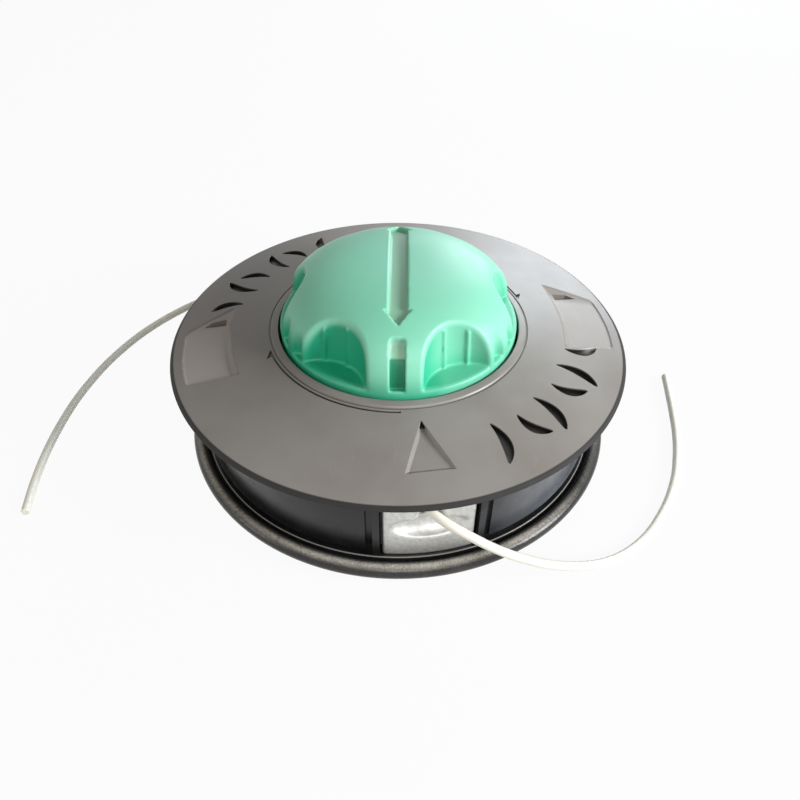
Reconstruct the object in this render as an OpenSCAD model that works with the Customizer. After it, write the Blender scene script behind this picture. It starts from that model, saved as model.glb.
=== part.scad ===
// Two-line bump-feed trimmer head, standing on the ribs of its housing with the knob up.
// Millimetres. Z is the spin axis, Z = 0 is the arbor face, and the line leaves along -Y and +Y.
// The spool, its knob and the wound line turn together; a knock on the knob pushes them down on the spring.

/* [Cover plate] */
// Outer diameter of the cover plate
cover_d = 130; // [127:0.5:136]
// Thickness of the conical plate
cover_t = 2.6; // [2.3:0.1:3]
// Height of the plate's outer edge
edge_h = 1.4; // [1.3:0.1:2]
// Radius of the round on the plate's outer edge
edge_round = 1; // [0.5:0.1:1.1]
// Rise of the plate from its edge to the knob hole
cover_rise = 4.8; // [4:0.1:6]
// Gap between the knob and its hole
hole_gap = 0.7; // [0.5:0.1:1]
// Height of the bead round the knob hole
bead_h = 0.35; // [0.2:0.05:0.6]
// Width of the bead round the knob hole
bead_w = 2.2; // [1.5:0.1:3]
// Depth of the lip that drops into the drum
lip_h = 3; // [2:0.1:4]
// Thickness of that lip
lip_t = 1.9; // [1.5:0.1:2.2]

/* [Marks on the cover] */
// Distance of a thumb recess's inner wall from the axis
recess_in = 47.6; // [46:0.1:49]
// Radius that a thumb recess's inner wall is bent to
recess_bend = 77; // [60:1:100]
// Distance of a thumb recess's outer edge from the cover's
recess_inset = 3.7; // [3:0.1:6]
// Depth of a thumb recess at its inner wall
recess_depth = 1.4; // [0.8:0.1:1.6]
// Reach of a thumb recess towards the front
recess_near = 15.6; // [12:0.1:18]
// Reach of a thumb recess's floor towards the rear
recess_far = 8.6; // [6:0.1:10]
// Slope of the facet that ends it
facet_slope = 10; // [8:0.5:16]
// Length of the vent slot in a thumb recess
vent_l = 6.4; // [5:0.1:7.5]
// Width of the vent slot at its wide end
vent_w = 2.5; // [1.5:0.1:2.8]
// Distance from the axis to the tip of an alignment triangle
mark_tip = 40.4; // [39:0.1:41.5]
// Length of an alignment triangle
mark_l = 14.7; // [12:0.1:16]
// Width of an alignment triangle
mark_w = 12.2; // [10:0.1:14]
// Depth of an alignment triangle at its tip
mark_depth = 1.5; // [0.8:0.1:1.7]

/* [Bump knob] */
// Diameter of the knob
knob_d = 67; // [66:0.2:68]
// Height of the dome above the cover's hole
knob_h = 19.4; // [17:0.1:22]
// Wall of the knob between its grips
knob_wall = 3.7; // [3.2:0.1:4.2]
// Wall of the knob behind a grip
grip_wall = 2.4; // [1.8:0.1:2.8]
// Radius of a finger grip
grip_r = 12.1; // [11:0.1:13]
// Depth of a finger grip
grip_depth = 6.8; // [6:0.1:7.4]
// Height of a grip's floor above the cover's hole
grip_floor = 2; // [1.5:0.1:3]
// Distance of a grip's two ribs from its middle
grip_rib_x = 3.5; // [2.5:0.1:4.5]
// Radius of a grip's ribs
grip_rib_r = 0.45; // [0.3:0.05:0.7]
// Radius of a flute between two grips
flute_r = 2.2; // [1.6:0.1:2.4]
// Depth of a flute
flute_depth = 2; // [1.4:0.1:2.2]
// Angle of a flute from the middle between two grips
flute_turn = 6.4; // [6:0.1:6.8]
// Depth of the arrow and the slots in the dome
arrow_depth = 1.2; // [0.8:0.1:1.6]
// Width of the arrow's shaft
arrow_w = 4.8; // [4:0.1:5.4]
// Width of the arrow's heads
arrow_head_w = 6.8; // [6:0.1:8]
// Length of an arrow head
arrow_head_l = 4.6; // [3.6:0.1:5.4]
// Reach of the arrow from the axis
arrow_reach = 24; // [21:0.1:24.5]
// Width of the slots below the arrow
slot_w = 3.9; // [3:0.1:4.6]
// Distance of the slots' upper ends from the axis
slot_start = 26.8; // [26.4:0.1:28.5]

/* [Housing] */
// Distance of the rolled rim's edge from the cover's
rim_inset = 1.5; // [1.2:0.1:1.6]
// Height of the rim's crest
rim_h = 6.9; // [6.6:0.1:7.4]
// Radius of the rolled bead on the rim
bead_r = 2.2; // [1.8:0.1:2.2]
// Distance of the drum wall from the cover's edge
drum_inset = 7.8; // [7.4:0.1:8.2]
// Thickness of the drum wall
drum_wall = 2; // [1.6:0.1:2.2]
// Height of the drum wall's top
drum_h = 32.6; // [31.8:0.1:33.4]
// Reach of the ledge below the drum wall
ledge_w = 1.7; // [1.4:0.1:1.9]
// Height of the ledge
ledge_h = 6.8; // [6.4:0.1:7.4]
// Thickness of the two wall panels
panel_t = 1; // [0.6:0.1:1.3]
// Gap between a panel and its neighbours
panel_gap = 1.8; // [1.2:0.1:2.2]
// Width of the posts beside the eyelets
post_w = 1.7; // [1.5:0.1:2.4]
// Thickness of those posts
post_t = 1.5; // [1.2:0.1:1.8]
// Thickness of the housing's floor
floor_t = 2; // [1.6:0.1:2.4]
// Space under the floor, which the ribs stand in
under_h = 2.3; // [1.8:0.1:2.8]
// Number of ribs that the head stands on
ribs = 12; // [8:1:18]
// Thickness of those ribs
rib_t = 1.6; // [1.2:0.1:2]

/* [Arbor] */
// Bore of the arbor thread, at its crests
thread_bore_d = 8.65; // [8.4:0.05:9]
// Width of the arbor nut across its flats
nut_flats = 17; // [16:0.5:17.5]
// Height of the arbor nut
nut_h = 8; // [7:0.1:8.2]
// Hole in the housing for the arbor shaft
shaft_hole_d = 11; // [10.5:0.1:12]
// Thickness of the nut's retaining washer
retainer_t = 1.2; // [0.8:0.1:1.4]
// Thickness of the housing under the arbor nut
hub_t = 2.6; // [2.2:0.1:2.8]
// Wall round the arbor nut
nut_wall = 2.5; // [2.2:0.1:2.8]

/* [Eyelets] */
// Width of the eyelets between their posts
eyelet_w = 23.6; // [21:0.1:24]
// Distance that the eyelets' faces stand out of the drum wall
eyelet_proud = 0.8; // [0.4:0.1:1.1]
// Reach of the eyelets' flanges past their posts
eyelet_flange = 2.8; // [2:0.1:3.4]
// Thickness of the eyelets' flanges
eyelet_back_t = 2.4; // [1.8:0.1:2.8]
// Height of the line bores
line_z = 22; // [21.4:0.1:22.6]
// Diameter of the line bores
line_bore_d = 5; // [4.6:0.1:5.6]
// Diameter of that bore where it opens into the mouth
bore_mouth_d = 8.4; // [7:0.1:10]
// Width of an eyelet's oval mouth
mouth_w = 20.2; // [18:0.1:21]
// Height of an eyelet's oval mouth
mouth_h = 7.2; // [6.4:0.1:8]
// Depth of an eyelet's oval mouth
mouth_depth = 3; // [2.2:0.1:3.4]
// Drop of the mouth's middle below the bore
mouth_drop = 4.6; // [3.8:0.1:4.8]

/* [Spool and feed] */
// Travel of the knob when it is bumped
travel = 5; // [4.4:0.1:5.2]
// Diameter of the core that the line is wound on
core_d = 40; // [39.8:0.1:42]
// Distance of the spool's flanges from the drum wall
flange_gap = 4.2; // [3.6:0.1:6]
// Thickness of the spool's outer flanges
flange_t = 1.6; // [1.3:0.1:1.9]
// Thickness of the spool's middle flange
middle_t = 2; // [1.6:0.1:2.4]
// Turn of the knob's arrow from the eyelets
knob_turn = -8.5; // [-12:0.5:0]
// Number of ratchet teeth
teeth = 36; // [24:12:36]
// Inner radius of the ratchet teeth
tooth_in = 37; // [36.8:0.1:38]
// Length of the ratchet teeth
tooth_l = 5; // [4:0.1:5.4]
// Number of feed dogs on the floor and under the spool
dogs = 6; // [3:3:6]
// Width of a feed dog
dog_w = 5; // [4:0.1:6]
// Thickness of the thrust washer
thrust_t = 1.2; // [0.8:0.1:1.4]
// Diameter of the spring wire
wire_d = 1.8; // [1.4:0.1:1.8]
// Turns of the spring
spring_turns = 5; // [4.5:0.5:5]

/* [Line] */
// Diameter of the nylon line
line_d = 2.4; // [2:0.1:2.4]
// Number of line layers on the spool
wound_layers = 8; // [2:1:10]

/* [Screws] */
// Diameter of the two knob screws
screw_d = 3.9; // [3.5:0.1:4.2]
// Diameter of the screws' heads
screw_head_d = 7; // [6.4:0.1:7.4]
// Height of the screws' heads
screw_head_h = 1.6; // [1.3:0.1:1.8]
// Distance of the screws from the axis
screw_x = 8; // [7.6:0.1:8.2]
// Reach of the screws into the knob
screw_reach = 9; // [7:0.5:10]

/* [Hidden] */

$fn = 96;
eps = 0.01;
// Fuses a detail to the wall that carries it
root = 0.3;
// Gap of a running fit, of a seat, and of parts that pass each other
run_gap = 0.08;
seat_gap = 0.05;
pass_gap = 0.3;

tooth_pitch = 360 / teeth;
grips = 6;
grip_pitch = 360 / grips;

// Heights from the floor up
floor_z = under_h + floor_t;
pocket_z = 2.2;
nut_z = hub_t;
ceiling_z = line_z - line_bore_d / 2 - 1.15;
tower_z = ceiling_z - travel - 0.4;
deck_z = drum_h + 0.1;
chamber_h = deck_z - flange_t - line_z - middle_t / 2;
lower_z = line_z - middle_t / 2 - chamber_h - flange_t;
upper_z = line_z + middle_t / 2 + chamber_h;
dog_top_z = lower_z - travel - pass_gap;
dog_low_z = floor_z + travel + pass_gap;
edge_z = drum_h + edge_h;
hole_z = edge_z + cover_rise;

// Radii from the axis out
knob_r = knob_d / 2;
hole_r = knob_r + hole_gap;
cover_r = cover_d / 2;
rim_r = cover_r - rim_inset;
drum_r = cover_r - drum_inset;
drum_in = drum_r - drum_wall;
ledge_r = drum_r + ledge_w;
eyelet_face = drum_r + eyelet_proud;
eyelet_back = drum_in - 3 * seat_gap - eyelet_back_t;
core_r = core_d / 2;
flange_r = drum_in - flange_gap;
dog_r = core_r + (flange_r - core_r) * 0.7;
dog_l = 6;
dog_step = 90 / dogs;
nut_corner_r = nut_flats / 2 / cos(30);
post_r = nut_corner_r + nut_wall;
spring_r = post_r + 0.8 + wire_d / 2;
tower_in = spring_r + wire_d / 2 + 0.7;
tower_r = tower_in + 1.6;
sleeve_in = tower_r + run_gap;
hub_r = tower_r + 2;
lip_r = drum_in - pass_gap;
cone_slope = cover_rise / (cover_r - edge_round - hole_r);

// The ratchet's teeth fill the height between the spool and the plate
tooth_ring_r = tooth_in + tooth_l + 0.5;
tooth_root_z = cone_z(tooth_ring_r) - cover_t - 0.2;
tooth_h = tooth_root_z - pass_gap - deck_z;
tooth_w = tooth_in * sin(tooth_pitch) - 0.2;
grip_c = knob_r - grip_depth + grip_r;
window_w = eyelet_w + 4 * pass_gap;

// Height of the cover's upper face at a radius
function cone_z(r) = hole_z - cone_slope * (r - hole_r);

// Points of an arc round a centre
function arc(c, r, from, to, steps = 8) =
    [for (i = [0:steps]) let (a = from + (to - from) * i / steps) [c[0] + r * cos(a), c[1] + r * sin(a)]];

// Half section of the dome: full at its flanks and nearly flat on top
function dome_points(r, h, steps = 24) =
    [for (i = [0:steps]) let (a = 90 * i / steps) [r * pow(sin(a), 2 / 3), h * pow(cos(a), 0.8)]];

// A tube swept along a route that never stands upright
function unit(v) = v / norm(v);
function heading(p, i) = unit(p[min(i + 1, len(p) - 1)] - p[max(i - 1, 0)]);
function ring_points(c, t, r, sides) =
    let (side = unit(cross(t, [0, 0, 1])), up = cross(side, t))
    [for (k = [0:sides - 1]) let (a = 360 * k / sides) c + r * (cos(a) * side + sin(a) * up)];

module tube(route, r, sides = 8) {
    last = len(route) - 1;
    polyhedron(
        points = [for (i = [0:last]) each ring_points(route[i], heading(route, i), r, sides)],
        faces = concat(
            [[for (k = [0:sides - 1]) k]],
            [for (i = [0:last - 1], k = [0:sides - 1])
                let (n = (k + 1) % sides, a = i * sides, b = a + sides) [a + k, b + k, b + n, a + n]],
            [[for (k = [sides - 1:-1:0]) last * sides + k]]
        )
    );
}

// Route of the front tail: out of its bore, round to the right, down and along the ground
front_route = [
    [-1.1, -52, 21.2], [-0.1, -54.8, 21.4], [1.5, -57.4, 21.2], [3.9, -59.8, 20.6], [6.7, -61.6, 19.6],
    [10.1, -63.1, 18], [13.4, -64.3, 16.2], [17.3, -65.2, 14], [21.2, -65.8, 11.9], [27, -66.4, 9.2],
    [33, -66.4, 6.8], [39, -65.9, 4.8], [45.1, -64.7, 3.1], [51.1, -62.6, 2], [56.8, -59.6, 1.4],
    [62, -55.9, 1.2], [66.7, -51.5, 1.2], [71, -46.8, 1.2], [74.9, -41.6, 1.2], [78.3, -36.2, 1.2],
    [81.2, -30.4, 1.2], [83.8, -24.5, 1.2], [86, -18.5, 1.2], [87.9, -12.4, 1.2], [89.7, -6.2, 1.2],
    [91.4, 0, 1.2], [93.1, 6.2, 1.2]
];
// Route of the rear tail: out of its bore, round to the left, down and along the ground
rear_route = [
    [0.4, 52.9, 20.8], [0, 55.9, 20.9], [-0.6, 58.8, 20.8], [-1.8, 62.1, 20.5], [-3.3, 65.2, 19.8],
    [-5.5, 68.4, 18.8], [-8.1, 71.2, 17.6], [-11.3, 73.9, 16], [-14.8, 76.1, 14.4], [-22.8, 79.2, 10.8],
    [-31.3, 80.8, 7.4], [-40.2, 80.7, 4.7], [-49.1, 79.1, 2.8], [-57.8, 76.1, 1.8], [-66.1, 71.8, 1.4],
    [-73.7, 66.6, 1.2], [-80.6, 60.4, 1.2], [-86.8, 53.4, 1.2], [-92.1, 45.8, 1.2], [-96.7, 37.7, 1.2],
    [-100.4, 29.3, 1.2], [-103.5, 20.5, 1.2], [-105.8, 11.5, 1.2], [-107.5, 2.4, 1.2], [-108.6, -6.9, 1.2],
    [-109.1, -16.1, 1.2], [-109.1, -25.4, 1.2]
];

// A band between two radii and two heights
module band(r_in, r_out, z_low, z_high) {
    rotate_extrude() translate([r_in, z_low]) square([r_out - r_in, z_high - z_low]);
}

// Repeats its children round the axis
module around(count, first = 0) {
    for (i = [0:count - 1]) rotate([0, 0, first + 360 * i / count]) children();
}

// A block in front of the axis, between two distances along -Y
module front_block(w, near, far, z_low, z_high) {
    translate([-w / 2, -far, z_low]) cube([w, far - near, z_high - z_low]);
}

// A prism along the radius from its side view
module radial_prism(r_in, length, outline) {
    translate([r_in, 0, 0]) rotate([90, 0, 90]) linear_extrude(length) polygon(outline);
}

// Rolled rim, groove, ledge, floor and drum wall in one section
module housing_section() {
    bead_c = [rim_r - bead_r, rim_h - bead_r];
    groove_z = ledge_h - 1.4;
    polygon(concat(
        [[hub_r - root, under_h], [ledge_r - 2.4, under_h]],
        arc(bead_c, bead_r, -110, 160, 14),
        [[ledge_r + 0.2, groove_z], [ledge_r, groove_z + 0.3],
         [ledge_r, ledge_h - 0.3], [ledge_r - 0.3, ledge_h], [drum_r, ledge_h],
         [drum_r, drum_h], [drum_in, drum_h], [drum_in, floor_z], [hub_r - root, floor_z]]
    ));
}

// Hub: spring pocket between the nut's post and the guide tower
module housing_hub() {
    band(0, hub_r, 0, pocket_z);
    band(tower_in, tower_r, pocket_z - root, tower_z);
    band(tower_r - root, hub_r, pocket_z - root, floor_z);
    band(0, post_r, pocket_z - root, tower_z);
}

module housing_panels() {
    gap_x = window_w / 2 + post_w + panel_gap;
    difference() {
        band(drum_r - root, drum_r + panel_t, ledge_h + panel_gap, drum_h);
        around(2) front_block(2 * gap_x, 0, rim_r, ledge_h, drum_h + eps);
    }
    intersection() {
        band(drum_r - root, drum_r + post_t, ledge_h - root, drum_h);
        around(2) front_block(window_w + 2 * post_w, 0, rim_r, ledge_h - root, drum_h);
    }
}

// A rib from the hub to the rim, with its outer end cut back
module housing_rib() {
    rotate([90, 0, 0]) translate([0, 0, -rib_t / 2]) linear_extrude(rib_t)
        polygon([[hub_r - root, 0], [ledge_r - 9, 0], [ledge_r - 2, under_h + eps],
                 [ledge_r - 2.6, floor_z - 1], [hub_r - root, floor_z - 1]]);
}

module housing() {
    color("dimgray") difference() {
        union() {
            rotate_extrude() housing_section();
            housing_hub();
            housing_panels();
            around(ribs) housing_rib();
            around(dogs, knob_turn) radial_prism(dog_r - dog_l / 2, dog_l,
                [[-dog_w / 2, floor_z - root], [dog_w / 2, floor_z - root], [dog_w / 2, dog_top_z],
                 [-dog_w / 2, dog_top_z]]);
        }
        around(2) front_block(window_w, eyelet_back - 1, rim_r, ledge_h, drum_h + 1);
        band(drum_in - eps, drum_in + 0.4, drum_h - lip_h + 0.1, drum_h - lip_h + 1.5);
        translate([0, 0, -1]) cylinder(d = shaft_hole_d, h = nut_z + 1 + eps);
        translate([0, 0, nut_z]) linear_extrude(tower_z)
            circle(r = nut_corner_r + seat_gap, $fn = 6);
        translate([0, 0, nut_z + nut_h]) cylinder(r = nut_corner_r + 2 * seat_gap, h = tower_z);
    }
}

// Conical plate with its rounded edge, and the drop to the drum's top
module cover_section() {
    lip_in = lip_r - lip_t;
    polygon(concat(
        [[hole_r, cone_z(hole_r)]],
        arc([cover_r - edge_round, edge_z - edge_round], edge_round, 90, 0, 6),
        [[cover_r - 0.4, drum_h], [lip_in, drum_h],
         [lip_in, cone_z(lip_in) - cover_t], [hole_r, cone_z(hole_r) - cover_t]]
    ));
    translate([lip_in, drum_h - lip_h]) square([lip_t, lip_h + root]);
    translate([hole_r, hole_z - cover_t - 1.4]) square([1.8, cover_t]);
    bead_out = hole_r + bead_w;
    polygon([[hole_r, hole_z - 1], [hole_r, hole_z + bead_h], [bead_out - 0.3, cone_z(bead_out) + bead_h],
             [bead_out, cone_z(bead_out) + bead_h / 2], [bead_out, hole_z - 1]]);
}

// Thumb recess on the +X side: a bent, slanted inner wall, a floor that rises outwards, a sloped rear end
module thumb_recess() {
    wall_z = cone_z(recess_in);
    recess_out = cover_r - recess_inset;
    intersection() {
        rotate_extrude() polygon([
            [recess_in - 6, wall_z - recess_depth + 0.2], [recess_in + 1.6, cone_z(recess_in + 1.6) - recess_depth],
            [recess_out, cone_z(recess_out) - 0.2], [recess_out, wall_z + 2], [recess_in - 6, wall_z + 2]
        ]);
        translate([recess_in - recess_bend, recess_far / 2, 0]) rotate_extrude() polygon([
            [recess_bend - 2, wall_z + 2], [recess_bend, wall_z], [recess_bend + 1.6, wall_z - recess_depth - 0.4],
            [2 * recess_bend, wall_z - recess_depth - 4], [2 * recess_bend, wall_z + 2]
        ]);
        translate([recess_in - 6, -recess_near, drum_h]) cube([recess_out, 3 * recess_near, hole_z]);
        translate([recess_in, recess_far, wall_z - recess_depth - 0.2]) rotate([facet_slope, 2, 0])
            translate([-recess_in, -3 * recess_near, 0]) cube([2 * cover_r, 6 * recess_near, hole_z]);
    }
}

module cover_plate() {
    color([0.55, 0.54, 0.53]) difference() {
        union() {
            rotate_extrude() cover_section();
            band(tooth_in - 0.5, tooth_ring_r, tooth_root_z, cone_z(tooth_ring_r) - 1);
            around(teeth, knob_turn) radial_prism(tooth_in, tooth_l,
                [[pass_gap, tooth_root_z + root], [tooth_w, tooth_root_z + root], [tooth_w, tooth_root_z],
                 [pass_gap, tooth_root_z - tooth_h]]);
            around(4, 45) rotate([0, 0, -9]) rotate_extrude(angle = 18)
                translate([lip_r - root, drum_h - lip_h + 0.3]) square([root + 0.45, 0.9]);
        }
        around(2) front_block(eyelet_w + 2 * eyelet_flange + 1.2, 0, lip_r + 1, drum_h - lip_h - 1, drum_h);
        thumb_recess();
        mirror([1, 0, 0]) thumb_recess();
        for (side = [0, 1]) mirror([side, 0, 0]) translate([recess_in + 1.9, recess_far, drum_h - 1])
            linear_extrude(hole_z) polygon([[0, 0], [vent_l, 0], [vent_l * 0.62, vent_w * 0.75], [-0.2, vent_w]]);
        around(2) translate([0, -mark_tip, cone_z(mark_tip) - mark_depth]) rotate([atan(cone_slope) * 0.5, 0, 0])
            linear_extrude(4) polygon([[0, 0], [mark_w / 2, -mark_l], [-mark_w / 2, -mark_l]]);
    }
}

// Cast eyelet at the front: a body between the posts, a flange behind them, and a bore with an oval mouth
module eyelet() {
    low = ledge_h + seat_gap;
    high = drum_h - 3 * seat_gap;
    back_w = eyelet_w + 2 * eyelet_flange;
    mouth_z = line_z - mouth_drop;
    // The mouth is a flat ball whose middle lies in front of the face
    fall = eyelet_face - sqrt(pow(eyelet_face, 2) - pow(mouth_w / 2, 2));
    ahead = (pow(mouth_w / 2, 2) + pow(fall, 2) - pow(mouth_depth, 2)) / (2 * (mouth_depth - fall));
    ball_r = ahead + mouth_depth;
    ball_h = mouth_h / 2 / sqrt(1 - pow(ahead / ball_r, 2));
    color([0.8, 0.8, 0.79]) difference() {
        union() {
            intersection() {
                band(eyelet_back, drum_in - 3 * seat_gap, low, high);
                front_block(back_w, 0, rim_r, low, high);
            }
            intersection() {
                band(eyelet_back, eyelet_face, low, high);
                front_block(eyelet_w, 0, rim_r, low, high);
            }
        }
        translate([0, -(eyelet_face + ahead), mouth_z])
            rotate_extrude() polygon([for (a = [-90:7.5:90]) [ball_r * cos(a), ball_h * sin(a)]]);
        translate([0, 0, line_z]) rotate([90, 0, 0]) cylinder(d = line_bore_d, h = rim_r);
        translate([0, mouth_depth - eyelet_face, line_z]) rotate([90, 0, 0])
            cylinder(d1 = line_bore_d, d2 = bore_mouth_d, h = mouth_depth + eps);
        translate([0, -eyelet_back + eps, line_z]) rotate([90, 0, 0])
            cylinder(d1 = line_bore_d + 2, d2 = line_bore_d, h = 1);
    }
}

module eyelet_front() { eyelet(); }
module eyelet_rear() { rotate([0, 0, 180]) eyelet(); }

module arbor_nut() {
    color("silver") difference() {
        translate([0, 0, nut_z]) linear_extrude(nut_h) circle(r = nut_corner_r, $fn = 6);
        translate([0, 0, nut_z - 1]) cylinder(d = thread_bore_d, h = nut_h + 2);
    }
}

module nut_retainer() {
    color("gray") band(thread_bore_d / 2 + 1.2, nut_corner_r + seat_gap, nut_z + nut_h, nut_z + nut_h + retainer_t);
}

module compression_spring() {
    low = pocket_z + wire_d / 2;
    rise = ceiling_z - run_gap - thrust_t - wire_d / 2 - low;
    flat = 0.35;
    per_turn = 14;
    steps = spring_turns * per_turn;
    color("lightsteelblue") tube([
        for (i = [0:steps]) let (t = i / per_turn, a = 360 * t,
            s = max(0, min(1, (t - flat) / (spring_turns - 2 * flat))))
            [spring_r * cos(a), spring_r * sin(a), low + rise * s]
    ], wire_d / 2);
}

module thrust_washer() {
    color("silver") band(post_r + 0.6, tower_in - 0.4, ceiling_z - run_gap - thrust_t, ceiling_z - run_gap);
}

module spool() {
    sleeve_z = floor_z + travel + 0.4;
    color([0.16, 0.16, 0.17]) rotate([0, 0, knob_turn]) difference() {
        union() {
            band(sleeve_in, core_r, lower_z, ceiling_z + root);
            band(sleeve_in, core_r - 0.3, sleeve_z, lower_z + root);
            band(0, core_r, ceiling_z, deck_z);
            band(core_r - root, flange_r, lower_z, lower_z + flange_t);
            band(core_r - root, flange_r, line_z - middle_t / 2, line_z + middle_t / 2);
            band(core_r - root, flange_r, upper_z, deck_z);
            around(teeth) radial_prism(tooth_in, tooth_l,
                [[-tooth_w, deck_z - root], [0, deck_z - root], [0, deck_z + tooth_h], [-tooth_w, deck_z]]);
            around(dogs, dog_step) radial_prism(dog_r - dog_l / 2, dog_l,
                [[-dog_w / 2, dog_low_z], [dog_w / 2, dog_low_z], [dog_w / 2, lower_z + root],
                 [-dog_w / 2, lower_z + root]]);
        }
        // Channel for pushing the line through, and its two slots in the middle flange
        translate([0, rim_r, line_z]) rotate([90, 0, 0]) cylinder(d = line_bore_d, h = 2 * rim_r);
        // Room under the knob
        band(screw_x + 4, core_r - 2, line_z + line_bore_d / 2 + 1.5, deck_z + eps);
        for (side = [-1, 1]) translate([side * screw_x, 0, ceiling_z - eps]) {
            cylinder(d = screw_d + 2 * seat_gap, h = deck_z);
            cylinder(d = screw_head_d + 6 * seat_gap, h = screw_head_h + 0.1);
        }
    }
}

module dome(r, h) { rotate_extrude() polygon(concat([[0, 0]], dome_points(r, h))); }

// Upright cutters for the six grips, larger by a wall where the inside is cut
module grip_cutters(wall = 0, z = 0) {
    around(grips, grip_pitch / 2) translate([0, -grip_c, z]) cylinder(r = grip_r + wall, h = knob_h + 1);
}

module arrow_outline() {
    barb = arrow_reach - arrow_head_l;
    for (turn = [0, 180]) rotate(turn)
        polygon([[0, -arrow_reach], [arrow_head_w / 2, -barb], [arrow_w / 2, -barb], [arrow_w / 2, 0],
                 [-arrow_w / 2, 0], [-arrow_w / 2, -barb], [-arrow_head_w / 2, -barb]]);
}

module knob_outside() {
    dome(knob_r, knob_h);
    band(0, knob_r, deck_z - hole_z, eps);
}

module knob_cavity() {
    skirt = 2.6;
    shelf = grip_floor - grip_wall;
    band(0, knob_r - skirt, deck_z - hole_z - eps, shelf);
    difference() {
        union() {
            dome(knob_r - knob_wall, knob_h - knob_wall);
            band(0, knob_r - knob_wall, shelf - eps, eps);
        }
        grip_cutters(grip_wall, shelf);
    }
}

module bump_knob() {
    slot_floor = grip_floor - 0.2;
    color([0.35, 0.78, 0.6]) rotate([0, 0, knob_turn]) translate([0, 0, hole_z]) {
        difference() {
            knob_outside();
            grip_cutters(0, grip_floor);
            for (k = [1, 2, 4, 5], side = [-1, 1])
                rotate([0, 0, grip_pitch * k + side * flute_turn])
                    translate([0, -(knob_r - flute_depth + flute_r), slot_floor]) cylinder(r = flute_r, h = knob_h);
            difference() {
                union() {
                    translate([0, 0, 1]) linear_extrude(knob_h) arrow_outline();
                    around(2) front_block(slot_w, slot_start, knob_r + 1, slot_floor, knob_h);
                }
                dome(knob_r - arrow_depth, knob_h - arrow_depth);
            }
            difference() {
                knob_cavity();
                for (side = [-1, 1]) translate([side * screw_x, 0, deck_z - hole_z - 1])
                    cylinder(d = screw_d + 3.6, h = knob_h + hole_z);
            }
            for (side = [-1, 1]) translate([side * screw_x, 0, deck_z - hole_z - 1])
                cylinder(d = screw_d + 2 * seat_gap, h = screw_reach + 1.5);
        }
        intersection() {
            dome(knob_r - 0.2, knob_h - 0.2);
            around(grips, grip_pitch / 2) for (side = [-1, 1])
                translate([side * grip_rib_x, sqrt(pow(grip_r, 2) - pow(grip_rib_x, 2)) - grip_c, grip_floor - root])
                    cylinder(r = grip_rib_r, h = knob_h, $fn = 16);
        }
    }
}

module knob_screws() {
    color("silver") rotate([0, 0, knob_turn]) for (side = [-1, 1])
        translate([side * screw_x, 0, ceiling_z + seat_gap]) {
            cylinder(d = screw_head_d, h = screw_head_h);
            cylinder(d = screw_d, h = deck_z - ceiling_z + screw_reach);
        }
}

// The turns of line in one chamber, as one ring with round strands at its faces
module wound_line(z) {
    pitch = line_d * 0.98;
    rows = max(1, floor((chamber_h - 0.2) / pitch));
    first = core_r + line_d / 2 + 0.1;
    rotate_extrude() translate([first, z + line_d / 2 + 0.1]) {
        for (i = [0:wound_layers - 1], j = [0:rows - 1])
            translate([i * pitch, j * pitch]) circle(d = line_d, $fn = 16);
        square([(wound_layers - 1) * pitch, (rows - 1) * pitch + eps]);
    }
}

module line_wound_lower() { color([0.88, 0.87, 0.78]) wound_line(lower_z + flange_t); }
module line_wound_upper() { color([0.88, 0.87, 0.78]) wound_line(line_z + middle_t / 2); }
module line_tail_front() { color([0.88, 0.87, 0.78]) tube(front_route, line_d / 2); }
module line_tail_rear() { color([0.88, 0.87, 0.78]) tube(rear_route, line_d / 2); }

housing();
cover_plate();
eyelet_front();
eyelet_rear();
arbor_nut();
nut_retainer();
compression_spring();
thrust_washer();
spool();
bump_knob();
knob_screws();
line_wound_lower();
line_wound_upper();
line_tail_front();
line_tail_rear();
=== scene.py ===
# %% [markdown]
# # A two-line bump-feed trimmer head
# The head stands on the ribs of its black housing. A grey conical plate closes the drum, and a green
# knob comes up through the plate. Two cast eyelets let the two ends of one nylon line out.
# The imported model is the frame: every piece here is built in the same place and on the same body.

# %% Frame
import math

import bmesh
import bpy
import numpy as np
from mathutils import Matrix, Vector


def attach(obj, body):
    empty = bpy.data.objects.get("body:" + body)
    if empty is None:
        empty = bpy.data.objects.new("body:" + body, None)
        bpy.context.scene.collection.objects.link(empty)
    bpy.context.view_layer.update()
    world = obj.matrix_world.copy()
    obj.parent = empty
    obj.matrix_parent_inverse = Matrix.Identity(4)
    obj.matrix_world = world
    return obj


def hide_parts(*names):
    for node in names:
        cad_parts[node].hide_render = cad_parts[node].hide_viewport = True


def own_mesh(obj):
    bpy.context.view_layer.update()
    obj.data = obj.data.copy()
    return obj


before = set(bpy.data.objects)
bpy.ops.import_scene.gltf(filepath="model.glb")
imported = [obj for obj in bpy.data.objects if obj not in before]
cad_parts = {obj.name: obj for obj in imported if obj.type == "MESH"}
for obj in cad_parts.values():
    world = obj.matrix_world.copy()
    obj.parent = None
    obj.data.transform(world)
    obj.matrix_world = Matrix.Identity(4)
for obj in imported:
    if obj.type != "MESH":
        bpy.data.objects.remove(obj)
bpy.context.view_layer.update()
MM = 0.001
COVER_R = 65.0
EDGE_Z = 34.0
DRUM_H = 32.6
HOLE_R = 34.2
HOLE_Z = 38.8
CONE_SLOPE = (HOLE_Z - EDGE_Z) / (COVER_R - 1 - HOLE_R)
KNOB_TURN = -8.5

# %% [markdown]
# ## Camera
# The photograph looks down on the knob at 43 degrees from close by, with a moderately wide lens.
# The place and angles come from the circles of the plate and the rim, whose sizes are known.

# %% Camera
CAMERA_AT = (-23.6, -165.4, 162.9)
CAMERA_ANGLES = (47.04, -0.34, -8.02)
CAMERA_LENS = 32.48

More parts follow.
